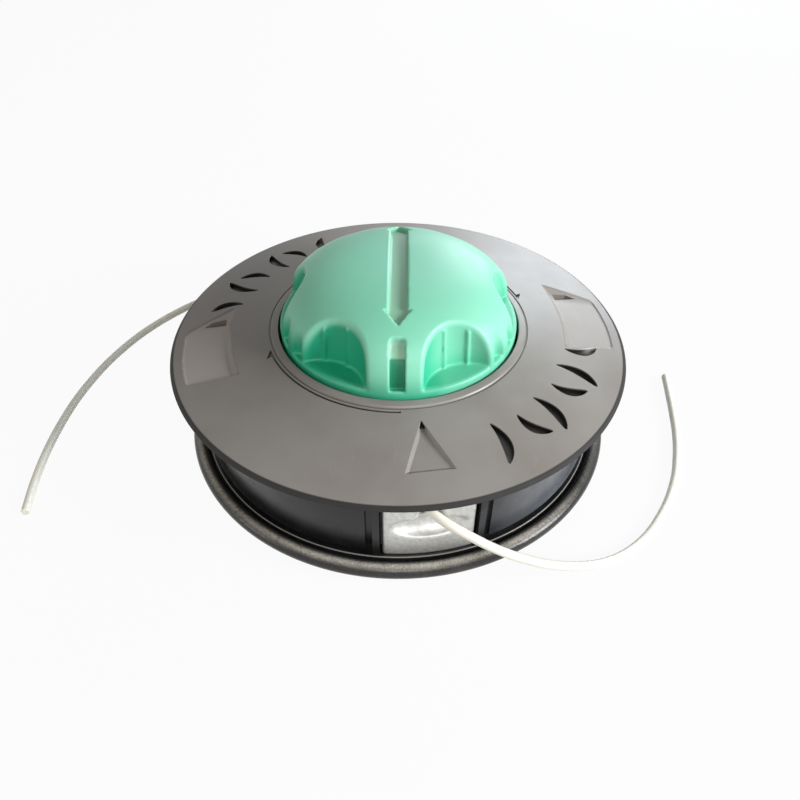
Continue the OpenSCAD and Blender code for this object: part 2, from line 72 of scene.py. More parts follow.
camera_data = bpy.data.cameras.new("camera")
camera_data.sensor_width = 36
camera_data.lens = CAMERA_LENS
camera_data.clip_start = 0.01
camera = bpy.data.objects.new("camera", camera_data)
camera.location = Vector(CAMERA_AT) * MM
camera.rotation_euler = [math.radians(angle) for angle in CAMERA_ANGLES]
bpy.context.scene.collection.objects.link(camera)
bpy.context.scene.camera = camera
print("camera:", CAMERA_LENS, "mm lens")


# %% [markdown]
# ## Shader maths
# A procedural finish is a sum of masks, so its nodes are written as expressions. A small class wraps
# a socket, and its operators add Math nodes. Every other node comes from one method.

# %% Shader expressions
class Value:
    """A socket of a material's node tree that can be added, multiplied and compared."""

    def __init__(self, finish, socket):
        self.finish = finish
        self.socket = socket

    def _math(self, operation, *others, clamp=False):
        inputs = {i + 1: other for i, other in enumerate(others)}
        return self.finish.add("ShaderNodeMath", {"operation": operation, "use_clamp": clamp}, {0: self, **inputs})

    def __add__(self, other):
        return self._math("ADD", other)

    def __sub__(self, other):
        return self._math("SUBTRACT", other)

    def __mul__(self, other):
        return self._math("MULTIPLY", other)

    def __truediv__(self, other):
        return self._math("DIVIDE", other)

    def __rsub__(self, other):
        return self * -1 + other

    __radd__ = __add__
    __rmul__ = __mul__

    def power(self, other):
        return self._math("POWER", other)

    def root(self):
        return self._math("SQRT")

    def absolute(self):
        return self._math("ABSOLUTE")

    def clamp(self):
        return self._math("ADD", 0, clamp=True)

    def smaller(self, other):
        return self._math("MINIMUM", other)

    def larger(self, other):
        return self._math("MAXIMUM", other)

    def between(self, low, high):
        """0 at low, 1 at high, and smooth in between."""
        return self.finish.add(
            "ShaderNodeMapRange", {"interpolation_type": "SMOOTHSTEP"}, {0: self, 1: low, 2: high}
        )

    def near(self, middle, reach):
        """1 at the middle and 0 beyond its reach."""
        return 1 - (self - middle).absolute().between(0, reach)


# %% Finishes
def srgb(red, green, blue):
    """A colour written in 0 to 255, as linear light."""
    parts = [c / 255 for c in (red, green, blue)]
    return tuple(c / 12.92 if c < 0.04045 else ((c + 0.055) / 1.055) ** 2.4 for c in parts) + (1,)


class Finish:
    """A material under construction, with its surface shader at hand."""

    def __init__(self, name, **constants):
        self.material = bpy.data.materials.new(name)
        self.material.use_nodes = True
        self.tree = self.material.node_tree
        self.shader = self.tree.nodes["Principled BSDF"]
        for socket, value in constants.items():
            self.shader.inputs[socket.replace("_", " ")].default_value = value
        place = self.add("ShaderNodeTexCoord", {}, {}, "Object")
        self.place = place
        parts = self.add("ShaderNodeSeparateXYZ", {}, {0: place}, None)
        self.x, self.y, self.z = (Value(self, out) for out in parts.outputs)
        self.radius = (self.x * self.x + self.y * self.y).root()
        normal = self.add("ShaderNodeSeparateXYZ", {}, {
            0: self.add("ShaderNodeTexCoord", {}, {}, "Normal")}, None)
        self.level = Value(self, normal.outputs[2])

    def turn(self):
        """Degrees round the axis, 0 at the front and growing to the right."""
        angle = self.add("ShaderNodeMath", {"operation": "ARCTAN2"}, {0: self.x, 1: self.y * -1})
        return angle * (180 / math.pi)

    def add(self, kind, settings, inputs, output=0):
        """Adds one node: settings first, then the values or links of its sockets."""
        node = self.tree.nodes.new(kind)
        for key, value in settings.items():
            setattr(node, key, value)
        for key, value in inputs.items():
            if isinstance(value, Value):
                self.tree.links.new(value.socket, node.inputs[key])
            else:
                node.inputs[key].default_value = value
        return node if output is None else Value(self, node.outputs[output])

    def noise(self, size, detail=3, roughness=0.55, stretch=None):
        """Even noise of about 0 to 1, with grains of the given size in millimetres."""
        place = self.place
        if stretch:
            place = self.add("ShaderNodeMapping", {}, {"Vector": place, "Scale": stretch}, "Vector")
        return self.add(
            "ShaderNodeTexNoise", {},
            {"Vector": place, "Scale": 1 / (size * MM), "Detail": detail, "Roughness": roughness}, "Fac",
        )

    def mix(self, factor, first, second):
        node = self.add(
            "ShaderNodeMix", {"data_type": "RGBA"}, {"Factor": factor, 6: first, 7: second}, None
        )
        return Value(self, node.outputs[2])

    def finish(self, bump=(), **links):
        """Links what changes over the surface; bump is a list of (height, depth in millimetres)."""
        for socket, value in links.items():
            self.tree.links.new(value.socket, self.shader.inputs[socket.replace("_", " ")])
        relief = None
        for height, depth in bump:
            layer = height * (depth * MM)
            relief = layer if relief is None else relief + layer
        if relief is not None:
            normal = self.add("ShaderNodeBump", {}, {"Height": relief, "Distance": 1.0, "Strength": 1.0}, "Normal")
            self.tree.links.new(normal.socket, self.shader.inputs["Normal"])
        return self.material


# %% [markdown]
# ## Materials
# Nylon comes out of its mould with a fine satin grain. The plate is grey and slightly blotched where it cooled,
# with painted shade on its left and back, its edge, its groove and its engraved marks, and painted light in its
# recesses.
# The housing is black, with scuffs and a painted highlight on its rim, a painted sheen on one panel and a painted
# highlight on its ledge. The knob is mint green under painted light that is paler on top and on the right, with painted
# shade on its left flank and in its arrow. The eyelets are cast aluminium, and the line is cream, half-clear nylon.

# %% Materials
def grey_nylon():
    f = Finish("grey_nylon", IOR=1.5)
    cloud = f.noise(26, 3)
    grain = f.noise(0.35, 2)
    scratch = f.noise(2.2, 4, 0.7, stretch=(1, 0.12, 1)).between(0.62, 0.7)
    depth = 0.0388 - (f.radius - 0.0342) * CONE_SLOPE - f.z
    turn = f.turn().absolute()
    row = (turn.near(46, 31) + turn.near(134, 31)).between(0.05, 0.1) * f.radius.between(0.0445, 0.0450)
    inner = f.radius.between(0.0369, 0.0371) * (1 - f.radius.between(0.0422, 0.0426))
    marks = depth.between(0.0002, 0.0005) * (1 - depth.between(0.0018, 0.0020)) * (row + inner)
    # edge picks the plate's outer edge band, which gets painted shade below and a rougher finish.
    edge = f.radius.between(0.0636, 0.0640)
    # wall picks the steep walls of the engraved rows, which get painted shade below.
    wall = (1 - f.level.between(0.78, 0.96)) * f.level.between(-0.3, -0.1) * (1 - f.radius.between(0.0628, 0.0632))
    wall = wall * row
    # groove picks the crease beside the bead round the knob hole, which gets painted shade below.
    groove = f.radius.near(0.03665, 0.0003) * depth.between(-0.0001, 0.0001)
    colour = f.mix(cloud.between(0.3, 0.7), srgb(133, 127, 121), srgb(146, 142, 137))
    colour = f.mix(scratch * 0.12, colour, srgb(170, 166, 160))
    # Painted shade: the plate darker towards its left and its back, where less light falls.
    painted_shade_left = (f.x * -1).between(-0.012, 0.045) * f.y.between(-0.07, 0.03)
    colour = f.mix(painted_shade_left, colour, srgb(92, 86, 80))
    # Painted light: the floors of the thumb recesses paler than the plate round them.
    side = turn.between(70, 73) * (1 - turn.between(106, 109)) * f.radius.between(0.0470, 0.0480)
    colour = f.mix(side * depth.between(0.0001, 0.0003) * 0.5, colour, srgb(166, 157, 150))
    # Painted shade: the outer edge band, which faces outwards and down, darkened nearly to black.
    colour = f.mix(edge, colour, srgb(14, 13, 12))
    # Painted shade on the steep walls of the engraved rows.
    colour = f.mix(wall * 0.8, colour, srgb(44, 40, 36))
    # Painted shade in the crease beside the bead round the knob hole.
    colour = f.mix(groove * 0.7, colour, srgb(40, 38, 35))
    # Painted shade: the engraved marks darkened by their depth below the plate's face.
    colour = f.mix(marks.clamp(), colour, srgb(24, 22, 21))
    return f.finish(
        bump=[(grain, 0.02), (f.noise(5, 2), 0.03)],
        Base_Color=colour,
        Roughness=f.noise(9, 3) * 0.12 + 0.27 + grain * 0.05 + edge * 0.4,
    )


def black_nylon():
    f = Finish("black_nylon", IOR=1.5, Specular_IOR_Level=0.32)
    grain = f.noise(0.5, 3)
    turn = f.turn()
    rim = f.radius.between(0.0592, 0.0602) * (1 - f.z.between(0.0105, 0.012))
    # Scuffs and a painted highlight along the top of the rolled rim, the highlight weaker on the right.
    wear_and_highlight_band = f.radius.near(0.0617, 0.0014) * f.z.between(0.0046, 0.0060) * 0.94 + 0.06
    wear_and_highlight_band = wear_and_highlight_band * (1 - turn.between(30, 50) * (1 - turn.between(130, 170)) * 0.8)
    scuff_and_highlight = (f.noise(0.55, 5, 0.7).between(0.35, 0.72) * 0.6 + f.noise(9, 3)) * rim * wear_and_highlight_band
    wall = f.radius.between(0.0570, 0.0572) * f.z.between(0.0080, 0.0090)
    # Mottled like dust, and a painted sheen of the cool light: bluish grey on the right-front panel only.
    dust_and_sheen = turn.between(8, 40) * (1 - turn.between(50, 110)) * (f.noise(7, 4, 0.6) * 0.7 + 0.15) * wall
    # Painted highlight: a thin bright line along the ledge's edge.
    painted_ledge_highlight = f.radius.near(0.0588, 0.0003) * f.z.near(0.0067, 0.0003)
    streak = f.noise(4, 3, 0.6, stretch=(1, 1, 6)).between(0.45, 0.75)
    colour = f.mix(streak * 0.5, srgb(24, 24, 25), srgb(42, 43, 45))
    colour = f.mix(dust_and_sheen, colour, srgb(124, 128, 135))
    colour = f.mix(scuff_and_highlight.clamp(), colour, srgb(186, 181, 170))
    colour = f.mix(painted_ledge_highlight.between(0.1, 0.6) * 0.7, colour, srgb(150, 149, 142))
    return f.finish(
        bump=[(grain, 0.02), (f.noise(1.1, 4) * rim, 0.08)],
        Base_Color=colour,
        Roughness=f.noise(6, 3) * 0.2 + 0.14 + scuff_and_highlight * 0.1,
    )


def green_nylon():
    f = Finish("green_nylon", IOR=1.5, Subsurface_Weight=0.08, Subsurface_Scale=0.003)
    grain = f.noise(0.4, 2)
    turn = math.radians(KNOB_TURN)
    across = (f.x * math.cos(turn) + f.y * math.sin(turn)).absolute()
    up = ((f.z - 0.0388) / 0.0194).larger(0)
    below = (f.radius / 0.0335).power(3) + up.power(2.5)
    skin = below.between(0.80, 0.93)
    key_floor = (1 - across.between(0.0036, 0.0040)) * (1 - below.between(0.91, 0.95))
    # Painted light: the dome's skin paler towards its top; painted shade takes it off the left flank, and painted light
    # adds it on the right side and in the scoops there.
    painted_top_light = f.z.between(0.0368, 0.047) * 0.85 + f.noise(14, 3) * 0.15
    painted_top_light = painted_top_light * (1 - (f.x * -1).between(0.010, 0.028) * (1 - f.z.between(0.042, 0.050)) * 0.95)
    right = f.x.between(0.001, 0.009) * (1 - f.y.between(0.0, 0.01)) * (1 - key_floor)
    skin = skin.larger(right * 0.8)
    painted_top_light = painted_top_light.larger(right * 0.55)
    colour = f.mix(painted_top_light.clamp() * skin, srgb(30, 176, 136), srgb(138, 217, 187))
    # In the arrow: painted light makes its floor pale grey-green at the top, and painted shade makes it dark green
    # lower down.
    pale = f.z.between(0.0484, 0.0492)
    colour = f.mix(key_floor * (1 - pale), colour, srgb(12, 134, 98))
    colour = f.mix(key_floor * pale, colour, srgb(146, 194, 168))
    return f.finish(
        bump=[(grain, 0.02), (f.noise(4, 2), 0.02)],
        Base_Color=colour,
        Roughness=f.noise(8, 3) * 0.1 + 0.36,
    )


def cast_aluminium():
    f = Finish("cast_aluminium", Metallic=0.8)
    grain = f.noise(0.3, 3, 0.6)
    colour = f.mix(f.noise(1.1, 4, 0.7).between(0.35, 0.65), srgb(196, 196, 193), srgb(214, 214, 211))
    return f.finish(bump=[(grain, 0.02)], Base_Color=colour, Roughness=f.noise(2, 3) * 0.12 + 0.42)


def plated_steel():
    f = Finish("plated_steel", Metallic=1.0)
    colour = f.mix(f.noise(3, 4).between(0.35, 0.65), srgb(176, 176, 172), srgb(205, 204, 198))
    return f.finish(bump=[(f.noise(0.4, 3), 0.01)], Base_Color=colour, Roughness=f.noise(2, 3) * 0.15 + 0.25)


def spring_steel():
    f = Finish("spring_steel", Metallic=1.0)
    colour = f.mix(f.noise(2, 3), srgb(120, 124, 130), srgb(156, 160, 166))
    return f.finish(bump=[(f.noise(0.3, 2), 0.01)], Base_Color=colour, Roughness=f.noise(1, 2) * 0.1 + 0.28)


def nylon_line():
    f = Finish("nylon_line", IOR=1.53, Subsurface_Weight=0.1, Subsurface_Scale=0.001)
    colour = f.mix(f.noise(6, 2), srgb(240, 238, 222), srgb(249, 248, 238))
    return f.finish(bump=[(f.noise(0.6, 2), 0.01)], Base_Color=colour, Roughness=f.noise(3, 2) * 0.1 + 0.3)


FINISHES = {make.__name__: make() for make in (
    grey_nylon, black_nylon, green_nylon, cast_aluminium, plated_steel, spring_steel, nylon_line)}
print("finishes:", ", ".join(FINISHES))


# %% Dressing a piece
def make_piece(name, points, faces, finish, body, replaces=(), smooth_angle=40):
    """Points in millimetres become one mesh object with its finish, its body and its place."""
    mesh = bpy.data.meshes.new(name)
    mesh.from_pydata((np.asarray(points, float) * MM).tolist(), [], [list(map(int, f)) for f in faces])
    return dress(name, mesh, finish, body, replaces, smooth_angle)


def dress(name, mesh, finish, body, replaces=(), smooth_angle=40):
    mesh.materials.clear()
    mesh.materials.append(FINISHES[finish])
    mesh.shade_smooth()
    if smooth_angle:
        mesh.set_sharp_from_angle(angle=math.radians(smooth_angle))
    piece = bpy.data.objects.new(name, mesh)
    bpy.context.scene.collection.objects.link(piece)
    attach(piece, body)
    if replaces:
        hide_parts(*replaces)
    triangles = sum(len(p.vertices) - 2 for p in mesh.polygons)
    print(f"{name}: {triangles} triangles")
    return piece


# %% [markdown]
# ## The line
# Both tails are ends of one 2.4 mm nylon line. It is stiff, so each tail leaves its eyelet straight,
# bends down in one long curve and then lies on the ground, where it keeps the curl of its spool.
# Its points are those of the construction. A smooth curve is led through them, and a round section
# is swept along it; the end is cut off square, with its edge just broken.

# %% Routes of the tails
LINE_R = 1.2
FRONT_ROUTE = [
    (-1.1, -52, 21.2), (-0.1, -54.8, 21.4), (1.5, -57.4, 21.2), (3.9, -59.8, 20.6), (6.7, -61.6, 19.6),
    (10.1, -63.1, 18), (13.4, -64.3, 16.2), (17.3, -65.2, 14), (21.2, -65.8, 11.9), (27, -66.4, 9.2),
    (33, -66.4, 6.8), (39, -65.9, 4.8), (45.1, -64.7, 3.1), (51.1, -62.6, 2), (56.8, -59.6, 1.4),
    (62, -55.9, 1.2), (66.7, -51.5, 1.2), (71, -46.8, 1.2), (74.9, -41.6, 1.2), (78.3, -36.2, 1.2),
    (81.2, -30.4, 1.2), (83.8, -24.5, 1.2), (86, -18.5, 1.2), (87.9, -12.4, 1.2), (89.7, -6.2, 1.2),
    (91.4, 0, 1.2), (93.1, 6.2, 1.2),
]
REAR_ROUTE = [
    (0.4, 52.9, 20.8), (0, 55.9, 20.9), (-0.6, 58.8, 20.8), (-1.8, 62.1, 20.5), (-3.3, 65.2, 19.8),
    (-5.5, 68.4, 18.8), (-8.1, 71.2, 17.6), (-11.3, 73.9, 16), (-14.8, 76.1, 14.4), (-22.8, 79.2, 10.8),
    (-31.3, 80.8, 7.4), (-40.2, 80.7, 4.7), (-49.1, 79.1, 2.8), (-57.8, 76.1, 1.8), (-66.1, 71.8, 1.4),
    (-73.7, 66.6, 1.2), (-80.6, 60.4, 1.2), (-86.8, 53.4, 1.2), (-92.1, 45.8, 1.2), (-96.7, 37.7, 1.2),
    (-100.4, 29.3, 1.2), (-103.5, 20.5, 1.2), (-105.8, 11.5, 1.2), (-107.5, 2.4, 1.2), (-108.6, -6.9, 1.2),
    (-109.1, -16.1, 1.2), (-109.1, -25.4, 1.2),
]


# %% A tube through points
def smooth_through(points, steps=4):
    """Points of a smooth curve that passes through all the given ones."""
    p = np.array([points[0], *points, points[-1]], float)
    curve = []
    for a, b, c, d in zip(p, p[1:], p[2:], p[3:]):
        for t in np.arange(steps) / steps:
            curve.append(0.5 * (2 * b + (c - a) * t + (2 * a - 5 * b + 4 * c - d) * t**2
                                + (3 * b - a - 3 * c + d) * t**3))
    return np.array(curve + [p[-1]])


def tube_mesh(path, radii, sides=20):
    """A closed tube round a path, with one radius for each of its points."""
    points, faces = [], []
    for i, (centre, r) in enumerate(zip(path, radii)):
        ahead = path[min(i + 1, len(path) - 1)] - path[max(i - 1, 0)]
        ahead = ahead / np.linalg.norm(ahead)
        side = np.cross(ahead, (0, 0, 1))
        side = side / np.linalg.norm(side)
        up = np.cross(side, ahead)
        for k in range(sides):
            turn = 2 * math.pi * k / sides
            points.append(centre + r * (math.cos(turn) * side + math.sin(turn) * up))
    for i in range(len(path) - 1):
        for k in range(sides):
            a, b = i * sides + k, i * sides + (k + 1) % sides
            faces.append((a, a + sides, b + sides, b))
    faces.append(range(sides))
    faces.append(range(len(points) - 1, len(points) - 1 - sides, -1))
    return points, faces


# %% Tails
def make_tail(name, route):
    path = smooth_through(route)
    end = (path[-1] - path[-2]) / np.linalg.norm(path[-1] - path[-2])
    path = np.vstack([path[:-1], path[-1] - 0.15 * end, path[-1]])
    radii = [LINE_R] * (len(path) - 1) + [LINE_R - 0.15]
    piece = make_piece(name, *tube_mesh(path, radii), "nylon_line", "head", [name.replace("cord", "line")])


make_tail("cord_tail_front", FRONT_ROUTE)
make_tail("cord_tail_rear", REAR_ROUTE)


# %% [markdown]
# ## Forms from a distance field
# A moulded knob has no sharp edge: each cut blends into the dome with a small round. Booleans and
# bevels break up on such shallow cuts. So the form is written as a distance field, a formula that is
# negative inside, where cuts and ribs join with smooth minima and maxima. A net of faces is then
# laid through the cells of a grid that the skin crosses, and its points are pulled onto the skin.

# %% Distance helpers
def smooth_max(a, b, blend):
    near = np.maximum(blend - np.abs(a - b), 0) / blend
    return np.maximum(a, b) + near * near * blend / 4


def smooth_min(a, b, blend):
    return -smooth_max(-a, -b, blend)


def outline_distance(x, y, corners):
    """Distance of points to a closed outline, negative inside it."""
    nearest = np.full(x.shape, 1e9)
    inside = np.zeros(x.shape, bool)
    for (ax, ay), (bx, by) in zip(corners, corners[1:] + corners[:1]):
        dx, dy = bx - ax, by - ay
        t = np.clip(((x - ax) * dx + (y - ay) * dy) / (dx * dx + dy * dy), 0, 1)
        nearest = np.minimum(nearest, np.hypot(x - ax - t * dx, y - ay - t * dy))
        if dy:
            crosses = ((ay > y) != (by > y)) & (x < dx * (y - ay) / dy + ax)
            inside ^= crosses
    return np.where(inside, -nearest, nearest)


# %% Net of faces through a field
def skin_of(field, low, high, step):
    """Points and faces of the skin where the field is zero, in a box of cells."""
    axes = [np.arange(a, b + step, step) for a, b in zip(low, high)]
    shape = tuple(len(a) for a in axes)
    grid = np.stack(np.meshgrid(*axes, indexing="ij"), -1).reshape(-1, 3)
    value = field(grid).reshape(shape)
    inside = value < 0
    total = np.zeros([n - 1 for n in shape] + [3])
    count = np.zeros([n - 1 for n in shape])
    for axis in range(3):
        first = [slice(None)] * 3
        second = [slice(None)] * 3
        first[axis], second[axis] = slice(0, -1), slice(1, None)
        v0, v1 = value[tuple(first)], value[tuple(second)]
        crossed = (v0 < 0) != (v1 < 0)
        with np.errstate(divide="ignore", invalid="ignore"):
            t = np.where(crossed, v0 / (v0 - v1), 0)
        others = [a for a in range(3) if a != axis]
        for i in (0, 1):
            for j in (0, 1):
                part = [slice(None)] * 3
                part[others[0]] = slice(i, shape[others[0]] - 1 + i)
                part[others[1]] = slice(j, shape[others[1]] - 1 + j)
                hit = crossed[tuple(part)]
                place = [0.0, 0.0, 0.0]
                place[others[0]], place[others[1]] = i, j
                for k in range(3):
                    total[..., k] += hit * (t[tuple(part)] if k == axis else place[k])
                count += hit
    cells = np.argwhere(count > 0)
    index = np.full(count.shape, -1)
    index[tuple(cells.T)] = np.arange(len(cells))
    spot = tuple(cells.T)
    points = np.array(low) + step * (cells + total[spot] / count[spot][:, None])
    faces = []
    for axis in range(3):
        b, c = (axis + 1) % 3, (axis + 2) % 3
        first = [slice(None)] * 3
        second = [slice(None)] * 3
        first[axis], second[axis] = slice(0, -1), slice(1, None)
        crossed = np.argwhere(inside[tuple(first)] != inside[tuple(second)])
        leaving = inside[tuple(first)][tuple(crossed.T)]
        corners = []
        for ob, oc in ((-1, -1), (0, -1), (0, 0), (-1, 0)):
            cell = crossed.copy()
            cell[:, b] += ob
            cell[:, c] += oc
            corners.append(index[tuple(cell.T)])
        quads = np.stack(corners, 1)
        faces.append(np.where(leaving[:, None], quads, quads[:, ::-1]))
    return pull_to_skin(field, points, step), np.vstack(faces)


def pull_to_skin(field, points, step, rounds=4):
    reach = step * 0.1
    start = points
    for _ in range(rounds):
        value = field(points)
        slope = np.stack([
            field(points + reach * np.eye(3)[k]) - field(points - reach * np.eye(3)[k]) for k in range(3)
        ], 1) / (2 * reach)
        size = np.maximum((slope**2).sum(1), 0.05)
        points = points - (value / size)[:, None] * slope
        points = start + np.clip(points - start, -step, step)
    return points


# %% [markdown]
# ## Bump knob
# The knob is a full dome with six finger grips, each an upright scoop with two thin ribs, eight
# flutes for a wet glove, and a double arrow that is lined up with the eyelets to thread the line.
# The field is the dome, minus the scoops, the flutes, the arrow and the hollow inside.

# %% Knob sizes
KNOB_R = 33.5
KNOB_H = 19.4
KNOB_WALL = 3.7
GRIP_WALL = 2.4
GRIP_R = 12.2
GRIP_C = 26.5 + GRIP_R
GRIP_FLOOR = 2.0
GRIP_TURN = -1.2
GRIP_DRAFT = 0.07
GRIP_RIB_X = 3.2
GRIP_RIB_SHIFT = 2.4
FLUTE_R = 2.2
FLUTE_C = KNOB_R - 2.0 + FLUTE_R
FLUTE_TURN = 6.4
ARROW_DEPTH = 1.5
DECK_Z = 32.7
GRIP_PITCH = 60
SCREW_X = 8


# %% Knob field
def dome_distance(r, z, radius, height):
    """A dome that is full at its flanks and nearly flat on top, on an upright skirt."""
    up = np.maximum(z, 0) / height
    out = r / radius
    value = out**3 + up**2.5 - 1
    slope = np.hypot(3 * out**2 / radius, 2.5 * up**1.5 / height)
    return np.minimum(value / np.maximum(slope, 0.02), 4)


def turned(x, y, degrees):
    """The x and y of points in a frame that is turned by an angle about the axis."""
    c, s = math.cos(math.radians(degrees)), math.sin(math.radians(degrees))
    return x * c + y * s, -x * s + y * c


def arrow_corners():
    reach, barb, head, shaft = 24.0, 19.4, 3.4, 2.4
    half = [(0, -reach), (head, -barb), (shaft, -barb), (shaft, barb), (head, barb)]
    return half + [(-x, -y) for x, y in half]


def grip_distance(x, y, z, wall, floor):
    """The six upright scoops, larger by a wall where the hollow inside keeps clear of them."""
    nearest = np.full(x.shape, 1e9)
    for k in range(6):
        u, v = turned(x, y, GRIP_PITCH * (k + 0.5) + GRIP_TURN)
        scoop = np.hypot(u, v + GRIP_C - GRIP_DRAFT * z) - GRIP_R - wall
        nearest = np.minimum(nearest, scoop)
    return smooth_max(nearest, floor - z, 0.7)


def knob_field(p):
    x, y, z = p.T
    r = np.hypot(x, y)
    dome = dome_distance(r, z, KNOB_R, KNOB_H)
    form = smooth_max(dome, -grip_distance(x, y, z, 0, GRIP_FLOOR), 0.8)
    for k in (1, 2, 4, 5):
        for side in (-1, 1):
            u, v = turned(x, y, GRIP_PITCH * k + side * FLUTE_TURN)
            flute = smooth_max(np.hypot(u, v + FLUTE_C) - FLUTE_R, GRIP_FLOOR - 0.2 - z, 0.5)
            form = smooth_max(form, -flute, 0.8)
    arrow = smooth_max(outline_distance(x, y, arrow_corners()), -dome - ARROW_DEPTH, 0.2)
    form = smooth_max(form, -arrow, 0.22)
    slot = smooth_max(np.abs(x) - 1.95, 26.8 - np.abs(y), 1.2)
    slot = smooth_max(smooth_max(slot, -dome - ARROW_DEPTH, 0.2), GRIP_FLOOR + 0.1 - z, 0.2)
    form = smooth_max(form, -slot, 0.22)
    for k, away in enumerate((1, 0, -1, 1, 0, -1)):
        u, v = turned(x, y, GRIP_PITCH * (k + 0.5) + GRIP_TURN)
        for side in (-1, 1):
            place = away * GRIP_RIB_SHIFT + side * GRIP_RIB_X
            back = GRIP_C - math.sqrt(GRIP_R**2 - place**2)
            rib = np.hypot(u - place, v + back - GRIP_DRAFT * z) - 0.5
            rib = smooth_max(rib, np.maximum(dome + 1.2, GRIP_FLOOR - 0.3 - z), 0.3)
            form = smooth_min(form, rib, 0.3)
    shelf = GRIP_FLOOR - GRIP_WALL
    inner = dome_distance(r, z, KNOB_R - KNOB_WALL, KNOB_H - KNOB_WALL)
    inner = np.maximum(inner, shelf - 0.2 - z)
    inner = np.maximum(inner, -grip_distance(x, y, z, GRIP_WALL, shelf))
    hollow = smooth_min(inner, np.maximum(r - KNOB_R + 2.6, z - shelf), 0.3)
    boss = np.hypot(np.abs(x) - SCREW_X, y) - 3.8
    hole = np.maximum(np.hypot(np.abs(x) - SCREW_X, y) - 2.0, z - 4.5)
    hollow = np.maximum(hollow, -boss)
    form = np.maximum(form, -hollow)
    form = np.maximum(form, -hole)
    return np.maximum(form, DECK_Z - HOLE_Z - z)


# %% Knob mesh
def turn_points(points, degrees):
    x, y = turned(points[:, 0], points[:, 1], -degrees)
    return np.stack([x, y, points[:, 2]], 1)


edge = KNOB_R + 1.1
points, faces = skin_of(knob_field, (-edge, -edge, DECK_Z - HOLE_Z - 1.1), (edge, edge, KNOB_H + 1.1), 0.46)
points = turn_points(points, KNOB_TURN) + np.array([0, 0, HOLE_Z])
make_piece("knob", points, faces, "green_nylon", "spool", ["bump_knob"], smooth_angle=0)

# %% [markdown]
# ## Turned forms
# The plate, the rim and the drum are bodies of revolution. One helper turns a closed section of
# radius and height about the axis, all the way or through a sector with closed ends.

# %% Turning a section
def rounded(corners, radius, steps=4):
    """A closed outline with its corners rounded; radius may be one number or one for each corner."""
    radii = radius if isinstance(radius, (list, tuple)) else [radius] * len(corners)
    result = []
    count = len(corners)
    for i, (corner, r) in enumerate(zip(corners, radii)):
        here = np.array(corner, float)
        back = np.array(corners[i - 1], float) - here
        ahead = np.array(corners[(i + 1) % count], float) - here
        lengths = np.linalg.norm(back), np.linalg.norm(ahead)
        back, ahead = back / lengths[0], ahead / lengths[1]
        r = min(r, 0.45 * min(lengths))
        if r <= 0:
            result.append(tuple(here))
            continue
        for t in np.linspace(0, 1, steps + 1):
            result.append(tuple(here + back * r * (1 - t) ** 2 + ahead * r * t**2))
    return result


def turned_solid(section, first=0.0, last=360.0, steps=256):
    """Points and faces of a section of (radius, height) turned about the axis, from the front."""
    whole = last - first >= 360
    turns = np.radians(np.linspace(first, last, steps, endpoint=not whole))
    points = [(r * math.sin(t), -r * math.cos(t), z) for t in turns for r, z in section]
    n = len(section)
    faces = []
    for i in range(steps if whole else steps - 1):
        j = (i + 1) % steps
        for k in range(n):
            m = (k + 1) % n
            faces.append((i * n + k, j * n + k, j * n + m, i * n + m))
    if not whole:
        faces.append(list(range(n)))
        faces.append([(steps - 1) * n + k for k in range(n - 1, -1, -1)])
    return points, faces


def as_mesh(name, *solids):
    """One mesh of several closed solids, with all faces pointing outwards."""
    merged = bmesh.new()
    for points, faces in solids:
        part = bmesh.new()
        verts = [part.verts.new(Vector(p) * MM) for p in points]
        for f in faces:
            part.faces.new([verts[k] for k in f])
        bmesh.ops.recalc_face_normals(part, faces=part.faces)
        mesh = bpy.data.meshes.new(name)
        part.to_mesh(mesh)
        part.free()
        merged.from_mesh(mesh)
        bpy.data.meshes.remove(mesh)
    mesh = bpy.data.meshes.new(name)
    merged.to_mesh(mesh)
    merged.free()
    return mesh


def cut(mesh, cutter):
    """The mesh minus a closed cutter, by an exact boolean."""
    target = bpy.data.objects.new("target", mesh)
    tool = bpy.data.objects.new("tool", cutter)
    for o in (target, tool):
        bpy.context.scene.collection.objects.link(o)
    change = target.modifiers.new("cut", "BOOLEAN")
    change.operation, change.solver, change.object = "DIFFERENCE", "EXACT", tool
    bpy.context.view_layer.update()
    result = bpy.data.meshes.new_from_object(target.evaluated_get(bpy.context.evaluated_depsgraph_get()))
    for o in (target, tool):
        bpy.data.objects.remove(o)
    return result


# %% [markdown]
# ## Cover plate
# A shallow cone with a thin rounded edge, a bead round the knob hole and a lip that drops into the
# drum. Two thumb recesses, two alignment triangles and the engraved marks are cut into it.

# %% Cover sizes
COVER_T = 2.6
LIP_OUT = 54.9
LIP_IN = 53.0


def cone_z(r):
    """Height of the plate's face at a radius."""
    return HOLE_Z - CONE_SLOPE * (r - HOLE_R)


